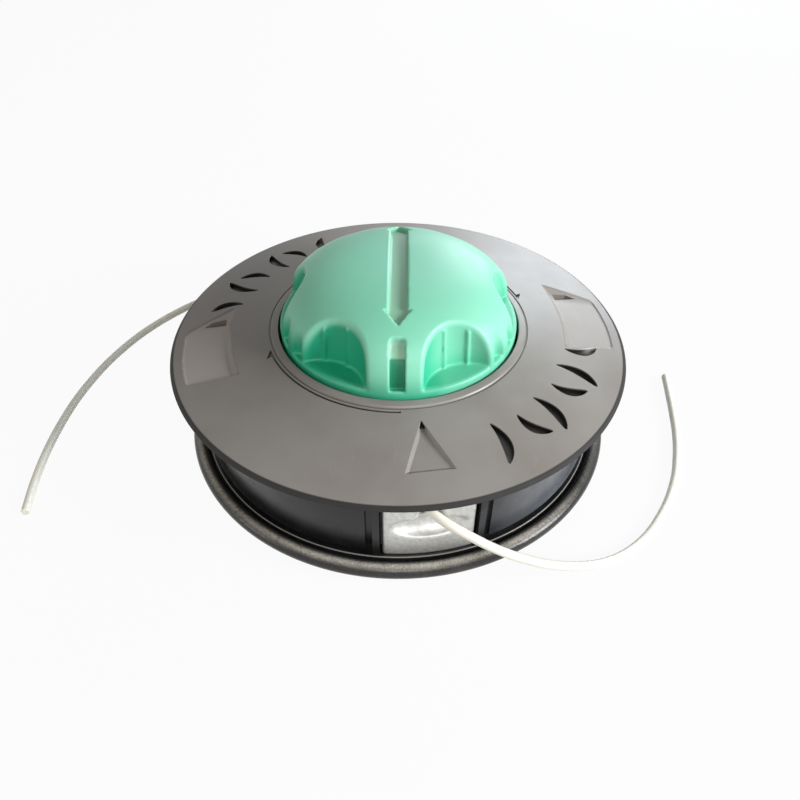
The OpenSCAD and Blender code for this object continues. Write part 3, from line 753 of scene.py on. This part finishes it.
def cover_section():
    bead = HOLE_R + 2.2
    face = [(r, cone_z(r)) for r in (37.5, 39, 41, 44, 47, 50, 53, 56, 59, 61.5, 63)]
    corners = [
        (HOLE_R, HOLE_Z + 0.35), (bead - 0.3, cone_z(bead) + 0.35), (bead, cone_z(bead)),
        (bead + 0.1, cone_z(bead) - 0.3), (bead + 0.4, cone_z(bead) - 0.3), (bead + 0.5, cone_z(bead + 0.5)),
        *face, (COVER_R - 1, EDGE_Z), (COVER_R, EDGE_Z - 1), (COVER_R - 0.4, DRUM_H), (LIP_OUT, DRUM_H),
        (LIP_OUT, DRUM_H - 3), (LIP_IN, DRUM_H - 3), (LIP_IN, cone_z(LIP_IN) - COVER_T),
        (HOLE_R + 1.8, cone_z(HOLE_R + 1.8) - COVER_T), (HOLE_R + 1.8, HOLE_Z - COVER_T - 1.4),
        (HOLE_R, HOLE_Z - COVER_T - 1.4),
    ]
    radii = [0.3, 0.15, 0, 0, 0, 0, *[0] * len(face), 0.7, 0.7, 0.3, 0.1, 0.3, 0.3, 0.3, 0.3, 0.2, 0.2]
    return rounded(corners, radii)


# %% Engraving tools
def spread(corners, gap):
    """A closed outline moved outwards by a small gap."""
    p = np.array(corners, float)
    along = np.roll(p, -1, 0) - np.roll(p, 1, 0)
    out = np.stack([along[:, 1], -along[:, 0]], 1) / np.linalg.norm(along, axis=1)[:, None]
    area = (p[:, 0] * np.roll(p[:, 1], -1) - np.roll(p[:, 0], -1) * p[:, 1]).sum()
    return p + out * gap * (1 if area > 0 else -1)


def engraver(outline, depth, chamfer=0.14):
    """A cutter that follows the cone: a floor, upright walls and a chamfer at the plate's face."""
    loops = [(0, -depth), (0.02, -chamfer), (chamfer + 0.3, 0.3)]
    points, faces = [], []
    n = len(outline)
    for gap, lift in loops:
        for x, y in spread(outline, gap):
            points.append((x, y, cone_z(math.hypot(x, y)) + lift))
    for i in range(len(loops) - 1):
        for k in range(n):
            m = (k + 1) % n
            faces.append((i * n + k, i * n + m, (i + 1) * n + m, (i + 1) * n + k))
    faces.append(list(range(n - 1, -1, -1)))
    faces.append(list(range(len(points) - n, len(points))))
    return points, faces


def dense(corners, step=0.6):
    """A closed outline with points added along its long edges."""
    result = []
    for a, b in zip(corners, corners[1:] + corners[:1]):
        count = max(1, round(math.dist(a, b) / step))
        result += [tuple(np.array(a) + (np.array(b) - np.array(a)) * i / count) for i in range(count)]
    return result


def turned_outline(corners, degrees):
    c, s = math.cos(math.radians(degrees)), math.sin(math.radians(degrees))
    return [(x * c - y * s, x * s + y * c) for x, y in corners]


# %% Alignment triangles
MARK_TIP = 40.4
MARK_L = 14.7
MARK_HALF = 6.1
MARK_SLOPE = 0.7


def triangle_cutter(turn):
    """The triangle is deep at its tip and runs out at its base."""
    corners = dense([(0, -MARK_TIP), (MARK_HALF, -MARK_TIP - MARK_L), (-MARK_HALF, -MARK_TIP - MARK_L)], 1.0)
    points, faces = [], []
    n = len(corners)
    for gap, lift in ((-MARK_SLOPE, None), (0.02, -0.08), (0.45, 0.35)):
        for corner, moved in zip(np.array(corners, float), spread(corners, gap)):
            away = -corner[1] - MARK_TIP
            x, y = corner + (moved - corner) * (min(1, away * 0.35) if lift is None else 1)
            height = -1.5 + 0.95 * away / MARK_L if lift is None else lift
            points.append((x, y, cone_z(math.hypot(x, y)) + height))
    for i in range(2):
        for k in range(n):
            m = (k + 1) % n
            faces.append((i * n + k, i * n + m, (i + 1) * n + m, (i + 1) * n + k))
    faces.append(list(range(n - 1, -1, -1)))
    faces.append(list(range(2 * n, 3 * n)))
    points = [(*turned_outline([p[:2]], turn)[0], p[2]) for p in points]
    return points, faces


# %% Thumb recesses
RECESS_IN = 47.6
RECESS_OUT = 61.3
RECESS_NEAR = 15.6
RECESS_FAR = 8.6
RECESS_DEPTH = 1.4
RECESS_BEND = 77.0
FACET_RISE = math.tan(math.radians(10))
VENT = [(49.5, 8.6), (55.9, 8.6), (53.4, 10.5), (49.3, 11.1)]


def recess_height(x, y):
    """Height of a recess's skin on the +X side: floor, bent inner wall, near wall, rear facet."""
    r = np.hypot(x, y)
    face = HOLE_Z - CONE_SLOPE * (r - HOLE_R)
    share = np.clip((r - RECESS_IN) / (RECESS_OUT - RECESS_IN), -0.3, 1.2)
    floor = face - RECESS_DEPTH * (1 - share) - 0.25 * share
    bend = np.hypot(x - RECESS_IN + RECESS_BEND, y - RECESS_FAR / 2) - RECESS_BEND
    wall = face - bend * 1.0
    near = face - (y + RECESS_NEAR) * 1.8
    edge_wall = face + (r - RECESS_OUT) * 0.8
    foot = cone_z(RECESS_IN) - RECESS_DEPTH - 0.2
    facet = foot + (y - RECESS_FAR) * FACET_RISE - (x - RECESS_IN) * 0.035
    height = smooth_max(smooth_max(floor, wall, 0.35), near, 0.3)
    height = smooth_max(smooth_max(height, edge_wall, 0.1), facet, 0.3)
    return smooth_min(height, face + 0.04, 0.14) + 0.0


def recess_cutter(side):
    """A block whose underside is the recess; it clears the plate's face all round."""
    xs = np.arange(44.0, 63.4, 0.35)
    ys = np.arange(-18.0, 18.0, 0.35)
    x, y = np.meshgrid(xs, ys, indexing="ij")
    low = np.stack([x, y, recess_height(x, y)], -1).reshape(-1, 3)
    top = low.copy()
    top[:, 2] = HOLE_Z + 3
    points = np.vstack([low, top])
    n, m = len(xs), len(ys)
    faces = []
    for i in range(n - 1):
        for j in range(m - 1):
            a = i * m + j
            faces.append((a, a + 1, a + m + 1, a + m))
            faces.append((a + n * m, a + n * m + m, a + n * m + m + 1, a + n * m + 1))
    rim = [i * m for i in range(n)] + [(n - 1) * m + j for j in range(1, m)]
    rim += [i * m + m - 1 for i in range(n - 2, -1, -1)] + [j for j in range(m - 2, 0, -1)]
    for a, b in zip(rim, rim[1:] + rim[:1]):
        faces.append((a, b, b + n * m, a + n * m))
    points[:, 0] *= side
    return points, faces


def vent_cutter(side):
    corners = [(x * side, y) for x, y in VENT]
    points = [(x, y, z) for z in (DRUM_H - 1, HOLE_Z + 3) for x, y in corners]
    n = len(corners)
    faces = [(k, (k + 1) % n, n + (k + 1) % n, n + k) for k in range(n)]
    return points, faces + [list(range(n)), list(range(2 * n - 1, n - 1, -1))]


# %% Generic engraved marks
def leaf_outline(length, width, bend, steps=14):
    """A slender leaf along +Y with a bent spine, round at its foot and pointed at its tip."""
    right, left = [], []
    for i in range(steps + 1):
        t = i / steps
        half = width / 2 * math.sin(math.pi * t) ** 0.7 * (1.15 - 0.5 * t) + 0.12
        spine = bend * (t - 0.5) ** 2 * 4
        right.append((spine + half, length * (t - 0.5)))
        left.append((spine - half, length * (t - 0.5)))
    return right + left[::-1]


def leaf_row(first, pitch, radius=52.5):
    """Six leaves in a row round the plate, as an ornament for a garden tool."""
    cutters = []
    for k in range(6):
        turn = first + pitch * k
        shape = leaf_outline(9.5 if k % 2 else 12.0, 2.6, 1.6 if k % 2 else -1.6)
        lean = 24 if k % 2 else -12
        shape = [(x, y - radius) for x, y in turned_outline(shape, lean)]
        cutters.append(engraver(dense(turned_outline(shape, turn), 0.8), 1.35))
    return cutters


def curved_arrow(first, last, radius, width=0.5):
    """A thin arrow round the knob hole, with half a head at its first angle."""
    sign = 1 if last > first else -1

    def spot(r, turn):
        return r * math.sin(math.radians(turn)), -r * math.cos(math.radians(turn))

    steps = max(8, round(abs(last - first) / 1.5))
    turns = np.linspace(first + sign * 4.2, last, steps)
    outer = [spot(radius + width / 2, turn) for turn in turns[::-1]]
    head = [spot(radius + 1.9, first + sign * 4.6), spot(radius - width / 2, first)]
    inner = [spot(radius - width / 2, turn) for turn in np.linspace(first + sign * 1.5, last, steps)]
    return [engraver(outer + head + inner, 0.5, 0.06)]


# %% Cover mesh
def lip_notch(turn):
    """Clears the lip where an eyelet's flange stands behind it."""
    half = 15.2
    corners = turned_outline([(-half, -56), (half, -56), (half, -50), (-half, -50)], turn)
    points = [(x, y, z) for z in (DRUM_H - 4, DRUM_H - 0.02) for x, y in corners]
    faces = [(k, (k + 1) % 4, 4 + (k + 1) % 4, 4 + k) for k in range(4)]
    return points, faces + [[0, 1, 2, 3], [7, 6, 5, 4]]


cover = as_mesh("cover", turned_solid(cover_section()))
for tools in (
    [recess_cutter(1), recess_cutter(-1)],
    [vent_cutter(1), vent_cutter(-1)],
    [triangle_cutter(0), triangle_cutter(180), lip_notch(0), lip_notch(180)],
    leaf_row(22, 9.6) + leaf_row(202, 9.6),
    curved_arrow(-77, -7, 37.6) + curved_arrow(99, 173, 37.6),
):
    cover = cut(cover, as_mesh("tools", *tools))
dress("cover", cover, "grey_nylon", "head", ["cover_plate"], 28)


# %% Even shading of the cone
def cone_normals(mesh):
    """Gives the corners that lie on the cone's face its exact normal, so that no cut shades it."""
    lean = math.hypot(1, CONE_SLOPE)
    normals = []
    for polygon in mesh.polygons:
        spots = [mesh.vertices[k].co / MM for k in polygon.vertices]
        radii = [math.hypot(spot.x, spot.y) for spot in spots]
        on_face = all(abs(spot.z - cone_z(r)) < 0.004 and r > 36.8 for spot, r in zip(spots, radii))
        for spot, r in zip(spots, radii):
            out = (CONE_SLOPE * spot.x / r, CONE_SLOPE * spot.y / r, 1)
            normals.append([c / lean for c in out] if on_face else (0, 0, 0))
    mesh.normals_split_custom_set(normals)
    return sum(any(normal) for normal in normals)


print("corners on the cone:", cone_normals(cover))

# %% [markdown]
# ## Housing
# The drum and its rolled rim are turned; the two wall panels and the posts beside the eyelets stand
# on the drum. The wall is two sectors, which leaves the two windows for the eyelets open.

# %% Housing sizes
DRUM_R = 57.2
DRUM_IN = 55.2
LEDGE_R = 58.9
LEDGE_H = 6.8
RIM_R = 63.5
RIM_H = 6.9
BEAD_R = 2.2
FLOOR_LOW = 2.3
FLOOR_TOP = 4.3
HUB_R = 19.2
SHAFT_R = 5.5
POCKET_Z = 2.2
NUT_Z = 2.6
NUT_H = 8.0
NUT_FLATS = 17.0
NUT_CORNER = NUT_FLATS / 2 / math.cos(math.radians(30))
POST_R = NUT_CORNER + 2.5
SPRING_R = POST_R + 1.7
TOWER_IN = SPRING_R + 1.6
TOWER_R = TOWER_IN + 1.6
TOWER_Z = 12.95
RIB_T = 1.6
WINDOW_HALF = 12.4
POST_W = 1.7
PANEL_GAP = 1.8


def angle_at(offset, radius):
    return math.degrees(math.asin(offset / radius))


def base_section():
    """Hub with its spring pocket, floor, rolled rim, groove and ledge."""
    bead = (RIM_R - BEAD_R, RIM_H - BEAD_R)
    groove = LEDGE_H - 1.4
    hub = rounded([(SHAFT_R, 0), (HUB_R, 0), (HUB_R, FLOOR_LOW)], [0.4, 0.4, 0])
    roll = [(bead[0] + BEAD_R * math.cos(a), bead[1] + BEAD_R * math.sin(a))
            for a in np.radians(np.linspace(-110, 160, 28))]
    ledge = rounded([(LEDGE_R, groove + 0.3), (LEDGE_R, LEDGE_H), (DRUM_R - 0.5, LEDGE_H)], [0, 0.25, 0])
    inside = [
        (DRUM_IN, LEDGE_H), (DRUM_IN, FLOOR_TOP), (TOWER_R, FLOOR_TOP), (TOWER_R, TOWER_Z), (TOWER_IN, TOWER_Z),
        (TOWER_IN, POCKET_Z), (POST_R - 0.4, POCKET_Z), (POST_R - 0.4, NUT_Z), (SHAFT_R, NUT_Z),
    ]
    return hub + [(LEDGE_R - 2.4, FLOOR_LOW)] + roll + [(LEDGE_R + 0.2, groove)] + ledge + inside


def arc_block(r_in, r_out, low, high, first, last, steps=48, radius=0.3):
    return turned_solid(rounded([(r_in, low), (r_out, low), (r_out, high), (r_in, high)], radius), first, last, steps)


def hexagon(turn):
    """Distance from the axis to the side of a hexagon with a corner at 0, for a unit corner radius."""
    return math.cos(math.radians(30)) / math.cos(math.radians(turn % 60 - 30))


def hex_post():
    """The round post that holds the nut in a hexagonal pocket."""
    turns = np.arange(0, 360, 5.0)
    points, faces = [], []
    for a in turns:
        inner = (NUT_CORNER + 0.05) * hexagon(a)
        c, t = math.cos(math.radians(a)), math.sin(math.radians(a))
        for r, z in ((inner, POCKET_Z + 0.2), (POST_R, POCKET_Z - 0.2), (POST_R, TOWER_Z - 0.3),
                     (POST_R - 0.3, TOWER_Z), (inner + 0.3, TOWER_Z), (inner, TOWER_Z - 0.3)):
            points.append((r * c, r * t, z))
    n = len(turns)
    for i in range(n):
        for k in range(6):
            j, m = (i + 1) % n, (k + 1) % 6
            faces.append((i * 6 + k, j * 6 + k, j * 6 + m, i * 6 + m))
    return points, faces


# %% Housing mesh
def housing_solids():
    solids = [turned_solid(base_section())]
    window = angle_at(WINDOW_HALF, DRUM_R)
    panel = angle_at(WINDOW_HALF + POST_W + PANEL_GAP, DRUM_R)
    post = angle_at(WINDOW_HALF + POST_W, DRUM_R)
    for half in (0, 180):
        solids.append(arc_block(DRUM_IN, DRUM_R, LEDGE_H - 1, DRUM_H, half + window, half + 180 - window, 96, 0.1))
        solids.append(arc_block(DRUM_R - 0.3, DRUM_R + 1, LEDGE_H + PANEL_GAP, DRUM_H - 0.1,
                                half + panel, half + 180 - panel, 96))
        for side in (-1, 1):
            first, last = sorted((side * window, side * post))
            solids.append(arc_block(DRUM_R - 0.6, DRUM_R + 1.5, LEDGE_H - 0.4, DRUM_H - 0.05,
                                    half + first, half + last, 6, 0.35))
    return solids


dress("housing_shell", as_mesh("housing", *housing_solids(), hex_post()), "black_nylon", "head", ["housing"], 35)


# %% [markdown]
# ## Repeats round the axis
# Ribs and ratchet teeth are one shape that comes back at equal steps. A Geometry Nodes tree turns
# copies of it round the axis: it has the number and the first angle as named inputs, and it ends by
# making the copies real and giving them their finish.

# %% Ring of copies
def ring_tree():
    tree = bpy.data.node_groups.new("ring_of_copies", "GeometryNodeTree")
    sockets = {}
    for name, kind, direction in (
        ("Shape", "NodeSocketGeometry", "INPUT"), ("Copies", "NodeSocketInt", "INPUT"),
        ("First angle", "NodeSocketFloat", "INPUT"), ("Finish", "NodeSocketMaterial", "INPUT"),
        ("Ring", "NodeSocketGeometry", "OUTPUT"),
    ):
        sockets[name] = tree.interface.new_socket(name, in_out=direction, socket_type=kind).identifier
    make = tree.nodes.new
    given, result = make("NodeGroupInput"), make("NodeGroupOutput")
    line, index = make("GeometryNodePoints"), make("GeometryNodeInputIndex")
    share, angle, shifted = make("ShaderNodeMath"), make("ShaderNodeMath"), make("ShaderNodeMath")
    share.operation, angle.operation, shifted.operation = "DIVIDE", "MULTIPLY", "ADD"
    angle.inputs[1].default_value = 2 * math.pi
    turn, place = make("ShaderNodeCombineXYZ"), make("GeometryNodeInstanceOnPoints")
    real, paint = make("GeometryNodeRealizeInstances"), make("GeometryNodeSetMaterial")
    for source, target in (
        (given.outputs["Copies"], line.inputs["Count"]),
        (index.outputs[0], share.inputs[0]), (given.outputs["Copies"], share.inputs[1]),
        (share.outputs[0], angle.inputs[0]),
        (angle.outputs[0], shifted.inputs[0]), (given.outputs["First angle"], shifted.inputs[1]),
        (shifted.outputs[0], turn.inputs[2]),
        (line.outputs[0], place.inputs["Points"]), (given.outputs["Shape"], place.inputs["Instance"]),
        (turn.outputs[0], place.inputs["Rotation"]),
        (place.outputs[0], real.inputs[0]), (real.outputs[0], paint.inputs["Geometry"]),
        (given.outputs["Finish"], paint.inputs["Material"]), (paint.outputs[0], result.inputs[0]),
    ):
        tree.links.new(source, target)
    return tree, sockets


RING, RING_INPUTS = ring_tree()


def ring_of(name, solid, copies, first, finish, body, smooth_angle=35):
    """A piece made of one solid that comes back round the axis."""
    shape = bpy.data.objects.new(name + "_one", as_mesh(name, solid))
    bpy.context.scene.collection.objects.link(shape)
    ring = shape.modifiers.new("ring", "NODES")
    ring.node_group = RING
    ring[RING_INPUTS["Copies"]] = copies
    ring[RING_INPUTS["First angle"]] = math.radians(first)
    ring[RING_INPUTS["Finish"]] = FINISHES[finish]
    bpy.context.view_layer.update()
    mesh = bpy.data.meshes.new_from_object(shape.evaluated_get(bpy.context.evaluated_depsgraph_get()))
    bpy.data.objects.remove(shape)
    return dress(name, mesh, finish, body, (), smooth_angle)


def prism_along(outline, axis_low, axis_high):
    """A prism along X from its outline of (y, z)."""
    n = len(outline)
    points = [(x, y, z) for x in (axis_low, axis_high) for y, z in outline]
    faces = [(k, (k + 1) % n, n + (k + 1) % n, n + k) for k in range(n)]
    return points, faces + [list(range(n - 1, -1, -1)), list(range(n, 2 * n))]


# %% Ribs under the floor
def rib_solid():
    outline = rounded([(HUB_R - 0.3, 0), (LEDGE_R - 9, 0), (LEDGE_R - 2, FLOOR_LOW), (LEDGE_R - 2.6, 3.3),
                       (HUB_R - 0.3, 3.3)], [0, 1.2, 0.2, 0, 0], 3)
    n = len(outline)
    half = RIB_T / 2
    layers = [(-half, 0.25), (-half + 0.25, 0), (half - 0.25, 0), (half, 0.25)]
    points = [(r, y, max(z, lift)) for y, lift in layers for r, z in outline]
    faces = [(i * n + k, i * n + (k + 1) % n, (i + 1) * n + (k + 1) % n, (i + 1) * n + k)
             for i in range(3) for k in range(n)]
    return points, faces + [list(range(n - 1, -1, -1)), list(range(3 * n, 4 * n))]


ring_of("floor_ribs", rib_solid(), 12, 0, "black_nylon", "head")


# %% Dogs on the floor
def dog_solid():
    """A block with a bevelled top, which takes hold of the spool when it stands low."""
    layers = [(0, 0, 4.0), (0, 0, 5.7), (0.3, 0.3, 6.0)]
    corners = [(38.7, -2.5, 1, 1), (44.7, -2.5, -1, 1), (44.7, 2.5, -1, -1), (38.7, 2.5, 1, -1)]
    points = [(x + sx * a, y + sy * b, z) for a, b, z in layers for x, y, sx, sy in corners]
    faces = [(i * 4 + k, i * 4 + (k + 1) % 4, i * 4 + 4 + (k + 1) % 4, i * 4 + 4 + k) for i in (0, 1) for k in range(4)]
    return points, faces + [[3, 2, 1, 0], [8, 9, 10, 11]]


ring_of("floor_dogs", dog_solid(), 6, KNOB_TURN, "black_nylon", "head")

# %% Ratchet teeth under the plate
TOOTH_IN, TOOTH_OUT = 37.0, 42.0
TOOTH_ROOT = HOLE_Z - CONE_SLOPE * (42.5 - HOLE_R) - COVER_T - 0.2
TOOTH_LOW = DRUM_H + 0.1 + 0.3
TOOTH_W = TOOTH_IN * math.sin(math.radians(10)) - 0.2
ring_of("ratchet_teeth", prism_along(
    [(0.3, TOOTH_ROOT + 0.3), (TOOTH_W, TOOTH_ROOT + 0.3), (TOOTH_W, TOOTH_ROOT), (0.45, TOOTH_LOW), (0.3, TOOTH_LOW + 0.1)],
    TOOTH_IN, TOOTH_OUT), 36, KNOB_TURN, "grey_nylon", "head")
points, faces = turned_solid(rounded([
    (TOOTH_IN - 0.5, TOOTH_ROOT), (TOOTH_OUT + 0.5, TOOTH_ROOT), (TOOTH_OUT + 0.5, TOOTH_ROOT + 1.9),
    (TOOTH_IN - 0.5, TOOTH_ROOT + 1.9)], [0.2, 0.2, 0, 0]), steps=144)
dress("ratchet_ring", as_mesh("ring", (points, faces)), "grey_nylon", "head")

# %% [markdown]
# ## Eyelets
# Each eyelet is a small casting: a block between the posts with a flange behind it, an oval mouth
# that the line lies in, and the bore. Castings have soft edges, so this is a distance field too.

# %% Eyelet field
EYELET_HALF = 11.8
EYELET_FACE = 58.0
EYELET_BACK = 52.65
LINE_Z = 22.0
MOUTH_Z = LINE_Z - 4.6


def eyelet_field(p):
    x, y, z = p.T
    r = np.hypot(x, y)
    low, high = LEDGE_H + 0.05, DRUM_H - 0.15
    band = smooth_max(low - z, z - high, 0.5)
    body = smooth_max(smooth_max(np.abs(x) - EYELET_HALF, r - EYELET_FACE, 0.7), EYELET_BACK - r, 0.4)
    flange = smooth_max(smooth_max(np.abs(x) - 14.6, r - 55.05, 0.4), EYELET_BACK - r, 0.4)
    form = smooth_max(np.minimum(body, flange), band, 0.6)
    mouth = np.sqrt((x / 10.6) ** 2 + ((z - MOUTH_Z) / 3.75) ** 2 + ((y + EYELET_FACE + 0.5) / 3.9) ** 2)
    form = smooth_max(form, -(mouth - 1) * 3.4, 0.6)
    flare = np.clip((-y - EYELET_FACE + 3) / 3, 0, 1.3)
    bore = np.hypot(x, z - LINE_Z) - 2.5 - 1.7 * flare**2
    form = smooth_max(form, -bore * 0.85, 0.6)
    back = np.hypot(x, z - LINE_Z) - 3.5 + (-y - EYELET_BACK).clip(0)
    form = smooth_max(form, -back * 0.7, 0.3)
    return np.maximum(form, y + 40)


points, faces = skin_of(eyelet_field, (-15.6, -59.2, LEDGE_H - 1), (15.6, -49.5, DRUM_H + 1), 0.36)
make_piece("eyelet_cast_front", points, faces, "cast_aluminium", "head", ["eyelet_front"], smooth_angle=0)
make_piece("eyelet_cast_rear", points * np.array([-1, -1, 1]), faces, "cast_aluminium", "head",
           ["eyelet_rear"], smooth_angle=0)

# %% [markdown]
# ## Nut, spring and wound line
# The nut is pressed into the hub and has a left-hand thread, so that the work keeps it tight. Each
# of its rings of points runs up the bore over the crests of the thread, out over the chamfer and
# down the hexagon. The spring and the winding are tubes along coiled paths.

# %% Arbor nut
def arbor_nut():
    pitch, minor, deep = 1.25, 4.325, 0.675
    turns = np.arange(0, 360, 5.0)
    rise = np.linspace(0, NUT_H, 61)
    points = []
    for a in turns:
        side = NUT_CORNER * hexagon(a)
        share = (rise / pitch + a / 360) % 1
        ends = np.clip(1 - np.minimum(rise, NUT_H - rise) / 0.7, 0, 1)
        bore = np.maximum(minor + deep * np.clip(1.25 - np.abs(share - 0.5) * 3.2, 0, 1), minor + 0.8 * ends)
        out = [(r, z) for r, z in zip(bore, rise)]
        for z, r in ((NUT_H, 8.1), (NUT_H - 0.3, 8.62), (NUT_H - 1.0, 9.82), (1.0, 9.82), (0.3, 8.62), (0, 8.1)):
            out.append((min(r, side - (0.1 if z in (0, NUT_H) else 0)), z))
        c, t = math.cos(math.radians(a)), math.sin(math.radians(a))
        points += [(r * c, r * t, NUT_Z + z) for r, z in out]
    n, m = len(turns), len(points) // len(turns)
    faces = [(i * m + k, (i + 1) % n * m + k, (i + 1) % n * m + (k + 1) % m, i * m + (k + 1) % m)
             for i in range(n) for k in range(m)]
    return points, faces


dress("arbor_nut_threaded", as_mesh("nut", arbor_nut()), "plated_steel", "head", ["arbor_nut"], 30)


# %% Compression spring
def spring_path(turns=5, low=POCKET_Z + 0.9, high=17.07 - 0.9, flat=0.35):
    path = []
    for i in range(turns * 36 + 1):
        t = i / 36
        share = min(max((t - flat) / (turns - 2 * flat), 0), 1)
        angle = 2 * math.pi * t
        path.append((SPRING_R * math.cos(angle), SPRING_R * math.sin(angle), low + (high - low) * share))
    return np.array(path)


path = spring_path()
spring = make_piece("spring_coil", *tube_mesh(path, [0.9] * len(path), 12), "spring_steel", "head",
                    ["compression_spring"])
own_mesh(spring)


# %% Wound line
def winding_path(low):
    """One line laid turn by turn: three rows high, up and down again, eight layers deep."""
    core, pitch = 20.0 + LINE_R + 0.15, 2.35
    spots = [(layer, row if layer % 2 == 0 else 2 - row) for layer in range(8) for row in range(3)]
    path = []
    for k, (layer, row) in enumerate(spots):
        after = spots[min(k + 1, len(spots) - 1)]
        for step in range(48):
            t = step / 48
            blend = max(0.0, (t - 0.86) / 0.14)
            blend = blend * blend * (3 - 2 * blend)
            r = core + pitch * (layer + (after[0] - layer) * blend)
            z = low + LINE_R + 0.15 + pitch * (row + (after[1] - row) * blend)
            path.append((r * math.sin(2 * math.pi * t), -r * math.cos(2 * math.pi * t), z))
    return np.array(path)


for name, low in (("lower", 11.3 + 1.6), ("upper", 22.0 + 1.0)):
    path = winding_path(low)
    make_piece("winding_" + name, *tube_mesh(path, [LINE_R - 0.02] * len(path), 10), "nylon_line", "spool",
               ["line_wound_" + name])

# %% [markdown]
# ## Pieces that keep their solids
# The spool and the small turned parts inside keep the solids of the construction and get their
# finishes.

# %% Finishes of the inner parts
INNER = {
    "nut_retainer": "plated_steel", "thrust_washer": "plated_steel", "knob_screws": "plated_steel",
    "spool": "black_nylon",
}
for node, finish in INNER.items():
    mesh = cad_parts[node].data
    mesh.materials.clear()
    mesh.materials.append(FINISHES[finish])
print("inner parts:", ", ".join(INNER))

# %% [markdown]
# ## Studio
# A pale floor, a faint sky and four soft lamps: the main one from the right, a cool one from behind,
# and two weak ones from the left and the front. The floor and the sky show white to the camera, to
# gloss and to glass, and the floor keeps a trace of the shadow.

# %% Floor
def white_when_seen(tree, lit, strength):
    """The lit shader for the light's own paths, and white for what the camera and gloss show."""
    make, link = tree.nodes.new, tree.links.new
    path, first, second = make("ShaderNodeLightPath"), make("ShaderNodeMath"), make("ShaderNodeMath")
    share, mixed = make("ShaderNodeMath"), make("ShaderNodeMixShader")
    first.operation, second.operation, share.operation = "MAXIMUM", "MAXIMUM", "MULTIPLY"
    share.inputs[1].default_value = strength
    link(path.outputs["Is Camera Ray"], first.inputs[0])
    link(path.outputs["Is Glossy Ray"], first.inputs[1])
    link(first.outputs[0], second.inputs[0])
    link(path.outputs["Is Transmission Ray"], second.inputs[1])
    link(second.outputs[0], share.inputs[0])
    link(share.outputs[0], mixed.inputs[0])
    link(lit, mixed.inputs[1])
    return mixed


def make_floor():
    mesh = bpy.data.meshes.new("floor")
    reach, low = 3.0, -0.0001
    mesh.from_pydata([(-reach, -reach, low), (reach, -reach, low), (reach, reach, low), (-reach, reach, low)],
                     [], [(0, 1, 2, 3)])
    floor = bpy.data.objects.new("floor", mesh)
    bpy.context.scene.collection.objects.link(floor)
    f = Finish("floor_paper", Roughness=0.9)
    f.shader.inputs["Base Color"].default_value = (0.62, 0.62, 0.62, 1)
    mixed = white_when_seen(f.tree, f.shader.outputs[0], 0.94)
    white = f.tree.nodes.new("ShaderNodeEmission")
    white.inputs["Strength"].default_value = 1.0
    f.tree.links.new(white.outputs[0], mixed.inputs[2])
    f.tree.links.new(mixed.outputs[0], f.tree.nodes["Material Output"].inputs["Surface"])
    mesh.materials.append(f.material)


make_floor()


# %% Sky and lamps
def make_sky():
    world = bpy.data.worlds.new("sky")
    world.use_nodes = True
    tree = world.node_tree
    soft = tree.nodes["Background"]
    soft.inputs["Color"].default_value = (1.0, 0.95, 0.86, 1)
    soft.inputs["Strength"].default_value = 0.07
    mixed = white_when_seen(tree, soft.outputs[0], 1.0)
    white = tree.nodes.new("ShaderNodeBackground")
    white.inputs["Strength"].default_value = 1.0
    white.inputs["Color"].default_value = (1, 1, 1, 1)
    tree.links.new(white.outputs[0], mixed.inputs[2])
    tree.links.new(mixed.outputs[0], tree.nodes["World Output"].inputs["Surface"])
    bpy.context.scene.world = world


def make_lamp(name, place, size, power, colour):
    data = bpy.data.lights.new(name, "AREA")
    data.shape, data.size, data.energy, data.color = "DISK", size, power, colour
    lamp = bpy.data.objects.new(name, data)
    lamp.location = place
    lamp.rotation_mode = "QUATERNION"
    lamp.rotation_quaternion = (Vector(place) - Vector((0, 0, 0.03))).to_track_quat("Z", "Y")
    bpy.context.scene.collection.objects.link(lamp)


make_sky()
make_lamp("lamp_right", (0.602, -0.348, 0.311), 0.35, 7.4, (0.97, 0.98, 1.0))
make_lamp("lamp_back", (0.348, 0.602, 0.311), 0.4, 2.4, (0.84, 0.92, 1.0))
make_lamp("lamp_left", (-0.7, -0.2, 0.18), 0.3, 0.8, (1.0, 0.92, 0.82))
make_lamp("lamp_front", (-0.02, -0.5, 0.4), 0.25, 1.0, (1.0, 0.97, 0.93))
bpy.context.scene.view_settings.view_transform = "Standard"
print("studio: floor, sky and four lamps")
